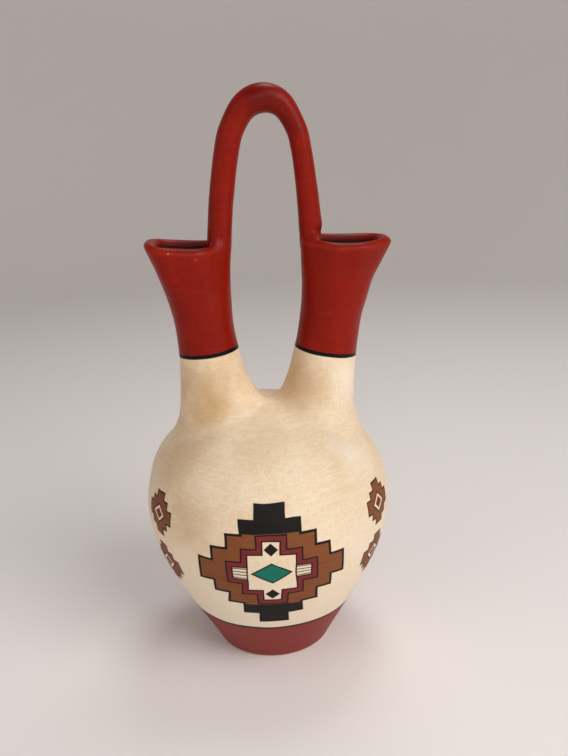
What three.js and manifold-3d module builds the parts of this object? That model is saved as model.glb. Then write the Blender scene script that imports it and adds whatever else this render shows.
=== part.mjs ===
// A hand-built wedding vase: a coiled jar with two necks, two flaring spouts and one arched handle.
// Millimetres, +Z up. The origin is the centre of the flat foot. +X runs along the line of the spouts
// and -Y is the front. Each piece of clay is a mesh of its own, as it lies on the potter's bench.

import * as THREE from "three";
import { mergeVertices } from "three/addons/utils/BufferGeometryUtils.js";
import Module from "manifold-3d";

// Driving dimensions
const HEIGHT = 280; // foot to the crown of the handle
const LIP_HEIGHT = 208.5; // foot to the top of each lip
const LINE_HEIGHT = 156; // foot to the middle of the line under each red spout
const SADDLE_HEIGHT = 131.5; // foot to the saddle between the necks
const BELLY_HEIGHT = 79.5; // foot to the widest place of the body
const BELLY_RADIUS = 61.6;
const FOOT_RADIUS = 28.8;
const BAND_HEIGHT = 26; // top of the red base band
const BODY_WALL = 6;
const SPOUT_WALL = 5;
const FLOOR = 8;
const HANDLE_LEFT = 11.6; // thickness of the handle at its left foot, its crown and its right foot
const HANDLE_CROWN = 13.4;
const HANDLE_RIGHT = 11;
const JOINT_GAP = 0.3; // the film of slip in every joint
const JOINT_DROP = 6; // a joint is bevelled: its inner edge lies this much lower along the wall
const UNEVEN = 0.04; // the right spout is wider than the mean by this share, the left one narrower
const MOUTH_DEPTH = 0.77; // front to back, a mouth has this share of its width
const LEAN = 0.037; // how far the spouts drift towards +X for each millimetre above the belly
const HANDLE_LEAN = 0.028; // the same for the handle, above the lips
const HANDLE_SHIFT = 0.8; // the feet of the handle stand this much towards -X on the lips

// Body outline
const FOOT_EDGE = 1.5; // the worn edge of the foot
const FOOT_FLARE = THREE.MathUtils.degToRad(26.8); // the lower wall leans out this much
const FOOT_PULL = 31; // lengths of the curve handles, from the foot up to the saddle
const BELLY_PULL_DOWN = 26.8;
const BELLY_PULL_UP = 30;
const SADDLE_PULL = 32;
const COURSE_JOINTS = [BAND_HEIGHT, 46, 66, 86, 103]; // heights of the joints between the body courses

// Spout line: height, reach from the middle, radius, and tilt of the ring in degrees
const SPOUT_STATIONS = [
  [114, 24.2, 25.6, 19],
  [123.5, 24.5, 23.8, 19],
  [129, 24.6, 20.9, 16],
  [139, 26.6, 17.5, 12],
  [LINE_HEIGHT, 28.9, 14.8, 8],
  [171, 31, 14.8, 7],
  [186, 33.3, 16.1, 5],
  [198, 35.7, 18.8, 2.5],
  [205, 37, 20.5, -1.5],
  [LIP_HEIGHT, 37.4, 21.1, -1.5],
];
const FLATTEN_START = 171; // from here up a spout grows flatter, towards its mouth
const ROOT_JOINT = 140; // joints up the necks and spouts
const FLARE_JOINT = 181;
const LIP_JOINT = 202;
const LIP_THICKNESS = 5.8;
const LIP_ROUND = 2.4; // height of the rounded top of the lip
const SPOUT_DROP = 4; // bevel of the joints in the thinner wall
const LEFT_TIP = 3.5; // degrees by which the left lip tips up at its outer end

// Handle line: distance from its middle, and height
const HANDLE_STATIONS = [
  [22.6, 201],
  [21.3, 216],
  [20.4, 227],
  [19.1, 238],
  [17.5, 249],
  [14.7, 259.5],
  [8.2, 269.8],
  [0, HEIGHT - HANDLE_CROWN / 2],
];
const CROWN_FOCUS = 12; // a higher power keeps the swell of the handle closer to its crown
const LUTING_WIDTH = 1.8; // the luting fills the corner on the outer side of each foot
const LUTING_EDGE = 0.6;
const LUTING_SHIFT = 0.8;
const LUTING_HEIGHT = 4.5;
const LUTING_LAP = 2; // how far the luting hangs over the lip

// Facets
const BODY_SIDES = 40;
const SPOUT_SIDES = 28;
const HANDLE_SIDES = 12;
const HANDLE_STEPS = 44;
const COURSE_STEPS = 3; // facets up one course of the body
const DOME_STEPS = 6;
const NECK_STEPS = 2; // facets up one coil of a neck or spout
const FLARE_STEPS = 3;
const ROOT_STEPS = 5;
const LIP_STEPS = 6;
const MERGE_DISTANCE = 1e-3; // points closer than this are one
const HALVINGS = 40;

const redSlip = new THREE.MeshStandardMaterial({ color: 0x8f2a1c, roughness: 0.42, metalness: 0 });
const creamSlip = new THREE.MeshStandardMaterial({ color: 0xe6d0a8, roughness: 0.5, metalness: 0 });

const wasm = await Module();
wasm.setup();

// Booleans

function toSolid(geometry) {
  const plain = new THREE.BufferGeometry();
  plain.setAttribute("position", geometry.getAttribute("position"));
  plain.setIndex(geometry.index);
  const merged = mergeVertices(plain, MERGE_DISTANCE);
  const vertProperties = new Float32Array(merged.getAttribute("position").array);
  const triVerts = new Uint32Array(merged.index.array);
  return new wasm.Manifold(new wasm.Mesh({ numProp: 3, vertProperties, triVerts }));
}

function toGeometry(solid) {
  const mesh = solid.getMesh();
  const geometry = new THREE.BufferGeometry();
  geometry.setAttribute("position", new THREE.BufferAttribute(mesh.vertProperties, mesh.numProp));
  geometry.setIndex(new THREE.BufferAttribute(mesh.triVerts, 1));
  geometry.computeVertexNormals();
  return geometry;
}

// Takes the cutters out of a geometry.
function cut(geometry, cutters) {
  const solid = cutters.reduce((left, cutter) => left.subtract(toSolid(cutter)), toSolid(geometry));
  return toGeometry(solid);
}

// Shared shapes

// A geometry skinned over rings of points. A closed one joins its last ring to its first,
// and an open one gets a flat cap on each end.
function skin(rings, closed) {
  const sides = rings[0].length;
  const points = rings.flat();
  const index = [];
  const spans = closed ? rings.length : rings.length - 1;
  for (let ring = 0; ring < spans; ring++) {
    const next = (ring + 1) % rings.length;
    for (let side = 0; side < sides; side++) {
      const turn = (side + 1) % sides;
      const a = ring * sides + side;
      const b = ring * sides + turn;
      const c = next * sides + turn;
      const d = next * sides + side;
      index.push(a, b, c, a, c, d);
    }
  }
  if (!closed) {
    const top = (rings.length - 1) * sides;
    for (let side = 1; side < sides - 1; side++) {
      index.push(0, side + 1, side, top, top + side, top + side + 1);
    }
  }
  const geometry = new THREE.BufferGeometry().setFromPoints(points);
  geometry.setIndex(index);
  geometry.computeVertexNormals();
  return geometry;
}

// Turns a profile of (radius, height) points about +Z. The outer side of the profile runs upwards.
function turned(profile, sides) {
  return new THREE.LatheGeometry(profile, sides).rotateX(Math.PI / 2);
}

// Numbers from start to end in equal steps, both ends included.
function spread(start, end, steps) {
  return Array.from({ length: steps + 1 }, (_, i) => THREE.MathUtils.lerp(start, end, i / steps));
}

function lean(height) {
  return LEAN * (THREE.MathUtils.clamp(height, BELLY_HEIGHT, LIP_HEIGHT) - BELLY_HEIGHT);
}

function handleLean(height) {
  return lean(LIP_HEIGHT) - HANDLE_SHIFT + HANDLE_LEAN * (height - LIP_HEIGHT);
}

// Body

const lowerWall = new THREE.CubicBezierCurve(
  new THREE.Vector2(FOOT_RADIUS, 0),
  new THREE.Vector2(FOOT_RADIUS + FOOT_PULL * Math.sin(FOOT_FLARE), FOOT_PULL * Math.cos(FOOT_FLARE)),
  new THREE.Vector2(BELLY_RADIUS, BELLY_HEIGHT - BELLY_PULL_DOWN),
  new THREE.Vector2(BELLY_RADIUS, BELLY_HEIGHT),
);
const upperWall = new THREE.CubicBezierCurve(
  new THREE.Vector2(BELLY_RADIUS, BELLY_HEIGHT),
  new THREE.Vector2(BELLY_RADIUS, BELLY_HEIGHT + BELLY_PULL_UP),
  new THREE.Vector2(SADDLE_PULL, SADDLE_HEIGHT),
  new THREE.Vector2(0, SADDLE_HEIGHT),
);

// The place along a wall curve at a height, from 0 to 1, found by halving.
function placeAt(curve, height) {
  let low = 0;
  let high = 1;
  for (let halving = 0; halving < HALVINGS; halving++) {
    const middle = (low + high) / 2;
    if (curve.getPoint(middle).y < height) low = middle;
    else high = middle;
  }
  return high;
}

// A point of a wall curve, moved square to the wall. Depth is inwards, and a grown wall has depth < 0.
function wallPoint(curve, place, depth) {
  const along = curve.getTangent(place);
  return curve.getPoint(place).add(new THREE.Vector2(-along.y, along.x).multiplyScalar(depth));
}

function bodyPoint(height, depth) {
  const curve = height < BELLY_HEIGHT ? lowerWall : upperWall;
  return wallPoint(curve, placeAt(curve, height), depth);
}

function baseBowl() {
  const outside = spread(FOOT_EDGE, BAND_HEIGHT, COURSE_STEPS).map((height) => bodyPoint(height, 0));
  const inside = spread(BAND_HEIGHT - JOINT_DROP, FLOOR, COURSE_STEPS).map((height) =>
    bodyPoint(height, BODY_WALL),
  );
  const floorEdge = new THREE.Vector2(inside.at(-1).x - BODY_WALL, FLOOR);
  const profile = [
    new THREE.Vector2(0, 0),
    new THREE.Vector2(FOOT_RADIUS - FOOT_EDGE, 0),
    ...outside,
    ...inside,
    floorEdge,
    new THREE.Vector2(0, FLOOR),
  ];
  return turned(profile, BODY_SIDES);
}

function bodyCoil(bottom, top) {
  const start = bottom + JOINT_GAP;
  const outside = spread(start, top, COURSE_STEPS).map((height) => bodyPoint(height, 0));
  const inside = spread(top - JOINT_DROP, start - JOINT_DROP, COURSE_STEPS).map((height) =>
    bodyPoint(height, BODY_WALL),
  );
  return turned([...outside, ...inside, outside[0]], BODY_SIDES);
}

// The dome that closes the body, as points from its joint to the axis.
function domeLine(bottom, depth) {
  const places = spread(placeAt(upperWall, bottom), 1, DOME_STEPS);
  return places.map((place) => wallPoint(upperWall, place, depth));
}

function shoulderCap() {
  const bottom = COURSE_JOINTS.at(-1) + JOINT_GAP;
  const outside = domeLine(bottom, 0);
  const inside = domeLine(bottom - JOINT_DROP, BODY_WALL).reverse();
  inside[0].x = 0;
  outside.at(-1).x = 0;
  const shell = turned([...inside, ...outside], BODY_SIDES);
  return cut(shell, [neckBore(-1), neckBore(1)]);
}

// The dome as a full block, grown by the film of slip, for fitting the neck roots.
function domeBlock() {
  const bottom = COURSE_JOINTS.at(-1) + JOINT_GAP;
  const outside = domeLine(bottom, -JOINT_GAP);
  outside.at(-1).x = 0;
  return turned([new THREE.Vector2(0, bottom), ...outside], BODY_SIDES);
}

// Necks and spouts, with side -1 on the left and 1 on the right

const spoutLine = new THREE.CubicInterpolant(
  SPOUT_STATIONS.map((station) => station[0]),
  SPOUT_STATIONS.flatMap((station) => station.slice(1)),
  3,
);

// A ring of points round a spout, at a depth inside its outer face and lifted above its own height.
function spoutRing(side, height, depth, lift = 0) {
  const [reach, meanRadius, degrees] = spoutLine.evaluate(height);
  const radius = meanRadius * (1 + side * UNEVEN);
  const flat = THREE.MathUtils.smoothstep(height, FLATTEN_START, LIP_HEIGHT);
  const deep = radius * THREE.MathUtils.lerp(1, MOUTH_DEPTH, flat) - depth;
  const tip = side < 0 ? LEFT_TIP * THREE.MathUtils.smoothstep(height, FLARE_JOINT, LIP_HEIGHT) : 0;
  const tilt = THREE.MathUtils.degToRad(degrees - tip);
  return Array.from({ length: SPOUT_SIDES }, (_, i) => {
    const angle = (2 * Math.PI * i) / SPOUT_SIDES;
    const outward = (radius - depth) * Math.cos(angle);
    const z = height + lift - outward * Math.sin(tilt);
    const x = side * (reach + outward * Math.cos(tilt)) + lean(z);
    return new THREE.Vector3(x, side * deep * Math.sin(angle), z);
  });
}

function spoutCoil(side, bottom, top, steps) {
  const start = bottom + JOINT_GAP;
  const outside = spread(start, top, steps).map((height) => spoutRing(side, height, 0));
  const inside = spread(top - SPOUT_DROP, start - SPOUT_DROP, steps).map((height) =>
    spoutRing(side, height, SPOUT_WALL),
  );
  return skin([...outside, ...inside], true);
}

// The rounded lip, as rings from its outer joint over the top to its inner joint.
function lip(side, bottom, grown) {
  const base = LIP_HEIGHT - LIP_ROUND;
  const middle = SPOUT_WALL / 2;
  const round = spread(0, Math.PI, LIP_STEPS).map((angle) => {
    const depth = middle - (LIP_THICKNESS / 2 + grown) * Math.cos(angle);
    return spoutRing(side, base, depth, (LIP_ROUND + grown) * Math.sin(angle));
  });
  const outerFoot = spoutRing(side, bottom, -grown);
  const innerFoot = spoutRing(side, bottom - SPOUT_DROP, SPOUT_WALL + grown);
  return skin([outerFoot, ...round, innerFoot], true);
}

function neckRoot(side) {
  const foot = SPOUT_STATIONS[0][0];
  const outside = spread(foot, ROOT_JOINT, ROOT_STEPS).map((height) => spoutRing(side, height, 0));
  const inside = spread(ROOT_JOINT - SPOUT_DROP, foot, FLARE_STEPS).map((height) => {
    return spoutRing(side, height, SPOUT_WALL);
  });
  return cut(skin([...outside, ...inside], true), [domeBlock()]);
}

// The hollow of a neck as a block, which also opens the dome below it.
function neckBore(side) {
  const foot = SPOUT_STATIONS[0][0];
  const rings = spread(foot, ROOT_JOINT, FLARE_STEPS).map((height) => spoutRing(side, height, SPOUT_WALL));
  const lowest = rings[0].map((point) => point.clone().setZ(point.z - 2 * BODY_WALL));
  return skin([lowest, ...rings], false);
}

// Handle

const handleLine = new THREE.CatmullRomCurve3(
  [
    ...HANDLE_STATIONS.map(([reach, height]) => [-reach, height]),
    ...HANDLE_STATIONS.slice(0, -1).reverse(),
  ].map(([reach, height]) => new THREE.Vector3(reach + handleLean(height), 0, height)),
);

// The roll's radius at a place from 0, its left foot, to 1, its right foot.
function handleRadius(place) {
  const foot = THREE.MathUtils.lerp(HANDLE_LEFT, HANDLE_RIGHT, place);
  const swell = HANDLE_CROWN - (HANDLE_LEFT + HANDLE_RIGHT) / 2;
  return (foot + swell * Math.sin(Math.PI * place) ** CROWN_FOCUS) / 2;
}

function handleRoll(grown) {
  const sideways = new THREE.Vector3(0, 1, 0);
  const rings = spread(0, 1, HANDLE_STEPS).map((place) => {
    const centre = handleLine.getPointAt(place);
    const square = sideways.clone().cross(handleLine.getTangentAt(place));
    const radius = handleRadius(place) + grown;
    return Array.from({ length: HANDLE_SIDES }, (_, i) => {
      const angle = (2 * Math.PI * i) / HANDLE_SIDES;
      return centre
        .clone()
        .addScaledVector(square, radius * Math.cos(angle))
        .addScaledVector(sideways, radius * Math.sin(angle));
    });
  });
  return skin(rings, false);
}

// The wall and lip that a foot of the handle straddles, grown by the film of slip.
function seat(side) {
  return lip(side, FLARE_JOINT, JOINT_GAP);
}

// The space between the two spouts, below the lips, which the feet of the handle stay out of.
function spoutGap() {
  const [reach, radius] = spoutLine.evaluate(LIP_JOINT);
  const left = reach - radius * (1 - UNEVEN);
  const right = reach - radius * (1 + UNEVEN);
  const top = LIP_HEIGHT - LIP_ROUND;
  const gap = new THREE.BoxGeometry(left + right, 2 * radius, top);
  return gap.translate((right - left) / 2 + lean(LIP_JOINT), 0, top / 2);
}

function handle() {
  return cut(handleRoll(0), [seat(-1), seat(1), spoutGap()]);
}

// Clay pressed into the corner between a leg of the handle and the lip, on the side of the mouth.
function handleLuting(side) {
  const legRadius = (side < 0 ? HANDLE_LEFT : HANDLE_RIGHT) / 2;
  const foot = legRadius + LUTING_WIDTH;
  const profile = [
    new THREE.Vector2(0, -LUTING_LAP),
    new THREE.Vector2(foot, -LUTING_LAP),
    new THREE.Vector2(foot, 0),
    new THREE.Vector2(legRadius + LUTING_EDGE, LUTING_HEIGHT),
    new THREE.Vector2(0, LUTING_HEIGHT),
  ];
  const legX = side * HANDLE_STATIONS[1][0] + handleLean(LIP_HEIGHT);
  const collar = turned(profile, 2 * HANDLE_SIDES);
  collar.translate(legX + side * LUTING_SHIFT, 0, LIP_HEIGHT);
  const innerHalf = new THREE.BoxGeometry(4 * foot, 4 * foot, 4 * foot);
  innerHalf.translate(legX - side * 2 * foot, 0, LIP_HEIGHT);
  return cut(collar, [seat(side), handleRoll(JOINT_GAP), innerHalf]);
}

// Assembly

function piece(name, geometry, material) {
  const mesh = new THREE.Mesh(geometry, material);
  mesh.name = name;
  return mesh;
}

function body() {
  const group = new THREE.Group();
  group.add(piece("base_bowl", baseBowl(), redSlip));
  for (let course = 1; course < COURSE_JOINTS.length; course++) {
    const coil = bodyCoil(COURSE_JOINTS[course - 1], COURSE_JOINTS[course]);
    group.add(piece(`body_coil_${course}`, coil, creamSlip));
  }
  group.add(piece("shoulder_cap", shoulderCap(), creamSlip));
  return group;
}

function spout(name, side) {
  const group = new THREE.Group();
  group.add(piece(`${name}_neck_root`, neckRoot(side), creamSlip));
  group.add(piece(`${name}_neck_coil`, spoutCoil(side, ROOT_JOINT, LINE_HEIGHT, NECK_STEPS), creamSlip));
  group.add(piece(`${name}_spout_lower`, spoutCoil(side, LINE_HEIGHT, FLARE_JOINT, NECK_STEPS), redSlip));
  group.add(piece(`${name}_spout_upper`, spoutCoil(side, FLARE_JOINT, LIP_JOINT, FLARE_STEPS), redSlip));
  group.add(piece(`${name}_lip`, lip(side, LIP_JOINT + JOINT_GAP, 0), redSlip));
  return group;
}

function handleGroup() {
  const group = new THREE.Group();
  group.add(piece("handle", handle(), redSlip));
  group.add(piece("left_handle_luting", handleLuting(-1), redSlip));
  group.add(piece("right_handle_luting", handleLuting(1), redSlip));
  return group;
}

const vase = new THREE.Group();
vase.name = "wedding_vase";
vase.add(body(), spout("left", -1), spout("right", 1), handleGroup());

export default vase;
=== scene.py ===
"""Dresses the wedding vase: a jar with two necks, two flaring spouts and one arched handle.

The clay is drawn as signed fields, below zero inside the clay, so that every joint that the potter
smooths over with slip is smooth here too. The base is turned and the handle is rolled with Geometry
Nodes. Lengths are in metres, in the frame of the solids: +Z is up and -Y is the front.
"""

import logging
import math
from collections.abc import Callable, Sequence
from dataclasses import dataclass, field
from enum import Enum, IntEnum

import bmesh
import bpy
import numpy as np
from mathutils import Matrix, Vector
from numpy.typing import NDArray


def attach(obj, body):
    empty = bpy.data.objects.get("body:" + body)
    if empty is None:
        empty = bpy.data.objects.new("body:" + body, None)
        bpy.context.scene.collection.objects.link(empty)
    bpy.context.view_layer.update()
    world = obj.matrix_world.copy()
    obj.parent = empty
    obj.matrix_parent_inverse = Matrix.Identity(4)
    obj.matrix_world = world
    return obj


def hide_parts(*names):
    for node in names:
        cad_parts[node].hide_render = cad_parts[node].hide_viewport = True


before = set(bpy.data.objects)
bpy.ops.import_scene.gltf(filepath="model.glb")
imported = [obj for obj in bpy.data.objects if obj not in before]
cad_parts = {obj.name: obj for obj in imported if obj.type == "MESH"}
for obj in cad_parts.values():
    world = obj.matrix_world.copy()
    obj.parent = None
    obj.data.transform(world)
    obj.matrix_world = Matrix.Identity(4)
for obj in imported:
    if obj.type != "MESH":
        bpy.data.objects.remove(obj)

Array = NDArray[np.float64]
Field = Callable[[Array], Array]
Colour = tuple[float, float, float]
Triple = tuple[float, float, float]
Socket = bpy.types.NodeSocket
Value = float | Socket
Inputs = dict[str | int, object]

log = logging.getLogger("wedding_vase")

HOLLOW = "hollow"
RIDGE = "ridge"
LIP = "lip"
WELD = 1e-6
TINY = 1e-9


class Side(IntEnum):
    """The two sides of the vase along X, as signs."""

    LEFT = -1
    RIGHT = 1

    @property
    def word(self) -> str:
        """The side in small letters, as piece names have it."""
        return self.name.lower()


class Slot(Enum):
    """The record's material slots."""

    RED = "red_slip"
    CREAM = "cream_slip"


def srgb(red: int, green: int, blue: int) -> Colour:
    """A colour as eyes see it, from 0 to 255, made linear for the shader.

    Args:
        red: red channel.
        green: green channel.
        blue: blue channel.

    Returns:
        The linear colour.
    """
    shares = (channel / 255 for channel in (red, green, blue))
    linear = (s / 12.92 if s <= 0.04045 else ((s + 0.055) / 1.055) ** 2.4 for s in shares)
    return tuple(linear)


def smooth_step(value: Array, low: float, high: float) -> Array:
    """Runs from 0 at low to 1 at high with soft ends."""
    share = np.clip((value - low) / (high - low), 0.0, 1.0)
    return share * share * (3.0 - 2.0 * share)


def smooth_union(first: Array, second: Array, blend: float | Array) -> Array:
    """Joins two fields with a fillet, which reaches as far as blend from the crease."""
    near = np.maximum(blend - np.abs(first - second), 0.0)
    return np.minimum(first, second) - near * near / (4.0 * blend)


def facing(along: Array, across: Array, low: float, high: float) -> Array:
    """How squarely directions face along an axis: 0 up to a cosine of low, 1 from one of high."""
    return smooth_step(along / (np.hypot(along, across) + TINY), low, high)


def bezier(corners: Sequence[tuple[float, float]], places: Array) -> Array:
    """Points of a cubic curve.

    Args:
        corners: its two ends and the two pulls between them.
        places: places along it, from 0 to 1.

    Returns:
        One point for each place.
    """
    a, b, c, d = (np.array(corner) for corner in corners)
    t = places[:, None]
    s = 1.0 - t
    return a * s**3 + 3.0 * b * s * s * t + 3.0 * c * s * t * t + d * t**3


class Track:
    """A smooth line through stations, sampled finely so that it can be read at any height."""

    SAMPLES = 3000

    def __init__(self, stations: Sequence[Sequence[float]]) -> None:
        """Fits the line.

        Args:
            stations: rows of a height and the values there, from the lowest up.
        """
        rows = np.array(stations)
        knots, values = rows[:, 0], rows[:, 1:]
        secants = np.diff(values, axis=0) / np.diff(knots)[:, None]
        inner = (secants[:-1] + secants[1:]) / 2.0
        slopes = np.vstack([secants[:1], inner, secants[-1:]])
        self.heights = np.linspace(knots[0], knots[-1], self.SAMPLES)
        left = np.clip(np.searchsorted(knots, self.heights, side="right") - 1, 0, len(knots) - 2)
        span = np.diff(knots)[left][:, None]
        t = (self.heights - knots[left])[:, None] / span
        start, end = values[left], values[left + 1]
        rise = slopes[left] * span * t * (1.0 - t) ** 2
        fall = slopes[left + 1] * span * t * t * (1.0 - t)
        ease = t * t * (3.0 - 2.0 * t)
        self.values = start + (end - start) * ease + rise - fall

    def at(self, heights: Array) -> list[Array]:
        """The values at some heights, one array for each column of the stations."""
        return [np.interp(heights, self.heights, column) for column in self.values.T]


@dataclass(frozen=True)
class NeckLine:
    """The black line where the red slip of a spout ends, as a tilted plane.

    Attributes:
        side: the spout that it goes round.
        middle: x of its middle.
        height: height of its middle.
        tilt: how far its outer end hangs down, in degrees.
    """

    side: Side
    middle: float
    height: float
    tilt: float

    def point(self) -> Vector:
        """The middle of the line."""
        return Vector((self.middle, 0.0, self.height))

    def normal(self) -> Vector:
        """The direction square to the plane, upwards."""
        angle = math.radians(self.tilt)
        return Vector((self.side * math.sin(angle), 0.0, math.cos(angle)))


@dataclass(frozen=True)
class Mouth:
    """What sets the mouth of one spout apart from an even oval.

    Attributes:
        pinch: share by which its front is drawn in beside the handle.
        taper: share by which its front is drawn in at the outer end, or let out below zero.
        nod: how far its front edge hangs down.
        tip: how far its outer end is turned up.
    """

    pinch: float
    taper: float
    nod: float
    tip: float


@dataclass(frozen=True)
class VaseShape:
    """The sizes of the vase and the fields of its forms."""

    # Base and body
    saddle_height: float = 0.1315
    belly_height: float = 0.0795
    belly_radius: float = 0.0616
    foot_radius: float = 0.0288
    band_height: float = 0.026
    body_wall: float = 0.006
    floor: float = 0.008
    foot_edge: float = 0.003
    floor_round: float = 0.0045
    foot_flare: float = math.radians(26.8)
    foot_pull: float = 0.031
    belly_pull_down: float = 0.0268
    belly_pull_up: float = 0.030
    saddle_pull: float = 0.032
    shoulder_swell: float = 0.0013
    swell_height: float = 0.108
    swell_reach: float = 0.010
    swell_start: float = 0.015
    swell_end: float = 0.045

    # Necks, spouts and mouths
    spout_wall: float = 0.005
    spout_foot: float = 0.108
    spout_deep: float = 0.016
    root_blend: float = 0.003
    saddle_blend: float = 0.006
    lean: float = 0.037
    tilt_rounds: int = 5
    mouth_start: float = 0.171
    mouth_depth: float = 0.77
    mouth_square: float = 0.9
    mouth_bow: float = 0.0009
    bow_start: float = 0.190
    bow_limit: float = 1.1
    pinch_start: float = 0.2
    front_start: float = -0.003
    front_end: float = 0.005
    left_mouth: Mouth = Mouth(pinch=0.55, taper=-0.2, nod=0.0006, tip=0.0012)
    right_mouth: Mouth = Mouth(pinch=0.35, taper=0.35, nod=0.0009, tip=0.0)

    # Lips
    lip_height: float = 0.2085
    lip_thickness: float = 0.0058
    lip_round: float = 0.0024
    lip_swell: float = 0.010
    lip_fade: float = 0.004
    lip_rise: float = 0.0003
    lip_edge: float = 1.6

    # Handle and its feet
    handle_left: float = 0.0116
    handle_crown: float = 0.0134
    handle_right: float = 0.0096
    handle_flare: float = 0.0016
    handle_lean: float = 0.028
    handle_shift: float = 0.0008
    right_foot_shift: float = 0.0002
    leg_end: float = 0.013
    leg_bend: float = 3.0
    foot_blend: float = 0.008
    mouth_blend: float = 0.0065
    least_blend: float = 0.0003
    mouthward_start: float = 0.1
    mouthward_end: float = 0.8
    legward_start: float = 0.35
    legward_end: float = 0.95
    smear: float = 0.0003
    smear_start: float = 0.163
    smear_end: float = 0.183
    notch: float = 0.0009
    notch_low: float = 0.2115
    notch_high: float = 0.2158

    # Unevenness of the wall
    wobble: float = 0.00012
    slow_waves: Triple = (0.041, 0.047, 0.033)
    slow_starts: Triple = (1.0, 2.0, 0.5)
    quick_waves: Triple = (0.023, -0.029, 0.019)
    quick_share: float = 0.35

    # Where the red slip of the spouts ends
    neck_lines: tuple[NeckLine, ...] = (
        NeckLine(Side.LEFT, -0.0259, 0.1565, 5.4),
        NeckLine(Side.RIGHT, 0.0318, 0.1547, 10.1),
    )

    # Stations of the spouts: height, reach from the axis, half their width and tilt in degrees
    left_track: Track = field(
        default_factory=lambda: Track(
            [
                (0.114, 0.0246, 0.0250, 19.0),
                (0.1235, 0.0250, 0.0237, 19.0),
                (0.129, 0.0249, 0.0204, 16.0),
                (0.139, 0.0266, 0.0173, 12.0),
                (0.156, 0.0288, 0.0146, 8.0),
                (0.171, 0.0310, 0.0141, 7.0),
                (0.186, 0.0331, 0.0155, 4.7),
                (0.198, 0.0357, 0.0179, 0.1),
                (0.205, 0.0372, 0.0199, -3.1),
                (0.2085, 0.0376, 0.0206, -3.2),
            ]
        )
    )
    right_track: Track = field(
        default_factory=lambda: Track(
            [
                (0.114, 0.0249, 0.0247, 19.0),
                (0.1235, 0.0249, 0.0226, 19.0),
                (0.129, 0.0251, 0.0195, 16.0),
                (0.139, 0.0266, 0.0171, 12.0),
                (0.156, 0.0288, 0.0152, 8.0),
                (0.171, 0.0310, 0.0149, 7.0),
                (0.186, 0.0333, 0.0163, 5.0),
                (0.192, 0.0342, 0.0174, 4.0),
                (0.198, 0.0358, 0.0192, 2.5),
                (0.205, 0.0374, 0.0208, 1.9),
                (0.2085, 0.0378, 0.0214, 1.9),
            ]
        )
    )

    # Stations of a leg of the handle: height and reach from the axis
    leg_stations: tuple[tuple[float, float], ...] = (
        (0.216, 0.0213),
        (0.227, 0.0204),
        (0.238, 0.0191),
        (0.249, 0.0175),
        (0.2595, 0.0149),
        (0.2698, 0.0086),
        (0.2733, 0.0),
    )

    def lean_at(self, heights: Array) -> Array:
        """How far the spouts drift towards +X at some heights."""
        return self.lean * (np.clip(heights, self.belly_height, self.lip_height) - self.belly_height)

    def handle_lean_at(self, heights: Array) -> Array:
        """How far the handle drifts towards +X at some heights."""
        start = self.lean * (self.lip_height - self.belly_height) - self.handle_shift
        return start + self.handle_lean * (heights - self.lip_height)

    def track(self, side: Side) -> Track:
        """The line of a spout: how far out, how wide and how tilted it is at each height."""
        return self.left_track if side is Side.LEFT else self.right_track

    def mouth(self, side: Side) -> Mouth:
        """The mouth of a spout."""
        return self.left_mouth if side is Side.LEFT else self.right_mouth

    def leg_foot(self, side: Side) -> tuple[Vector, Vector]:
        """Where a leg of the handle stands on its foot, and the way it leaves it.

        Args:
            side: the leg.

        Returns:
            The place of its seam and its direction there.
        """
        places = []
        for height, reach in self.leg_stations[:2]:
            lean = float(self.handle_lean_at(np.array(height)))
            places.append(Vector((side * reach + lean, 0.0, height)))
        if side is Side.RIGHT:
            places[0].x += self.right_foot_shift
        return places[0], (places[1] - places[0]).normalized()

    def wall_line(self, depth: float = 0.0, steps: int = 400) -> Array:
        """The outline of the body from its foot to its saddle.

        Args:
            depth: how far inside the outer face it lies.
            steps: samples on each half of it.

        Returns:
            Rows of a radius and a height.
        """
        places = np.linspace(0.0, 1.0, steps)
        rise = self.foot_pull * math.cos(self.foot_flare)
        reach = self.foot_pull * math.sin(self.foot_flare)
        belly = (self.belly_radius, self.belly_height)
        lower = bezier(
            [
                (self.foot_radius, 0.0),
                (self.foot_radius + reach, rise),
                (self.belly_radius, self.belly_height - self.belly_pull_down),
                belly,
            ],
            places,
        )
        upper = bezier(
            [
                belly,
                (self.belly_radius, self.belly_height + self.belly_pull_up),
                (self.saddle_pull, self.saddle_height),
                (0.0, self.saddle_height),
            ],
            places,
        )
        line = np.vstack([lower, upper[1:]])
        along = np.gradient(line, axis=0)
        along /= np.linalg.norm(along, axis=1, keepdims=True)
        return line + depth * np.stack([-along[:, 1], along[:, 0]], axis=1)

    def wobble_at(self, points: Array) -> Array:
        """The slow unevenness that hands leave in a wall.

        Args:
            points: the points.

        Returns:
            How far the wall stands in at each of them.
        """
        turns = points * math.tau
        slow = np.prod(np.sin(turns / self.slow_waves + self.slow_starts), axis=1)
        quick = np.sin(np.sum(turns / self.quick_waves, axis=1))
        return self.wobble * (slow + self.quick_share * quick)

    def swell_at(self, points: Array) -> Array:
        """How much fuller the left shoulder is than a turned one.

        Args:
            points: the points.

        Returns:
            How far the wall stands out at each of them.
        """
        aside = smooth_step(-points[:, 0], self.swell_start, self.swell_end)
        level = (points[:, 2] - self.swell_height) / self.swell_reach
        return self.shoulder_swell * aside * np.exp(-level * level)

    def body_field(self, depth: float) -> Field:
        """The field of the turned body, read along rays from the middle of its belly.

        Args:
            depth: how far inside the outer face its zero lies.

        Returns:
            The field.
        """
        line = self.wall_line(depth)
        offset = line - np.array([0.0, self.belly_height])
        angles = np.arctan2(offset[:, 1], offset[:, 0])
        reaches = np.hypot(offset[:, 0], offset[:, 1])
        slopes = np.gradient(reaches, angles) / reaches
        shares = 1.0 / np.sqrt(1.0 + slopes * slopes)

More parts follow.
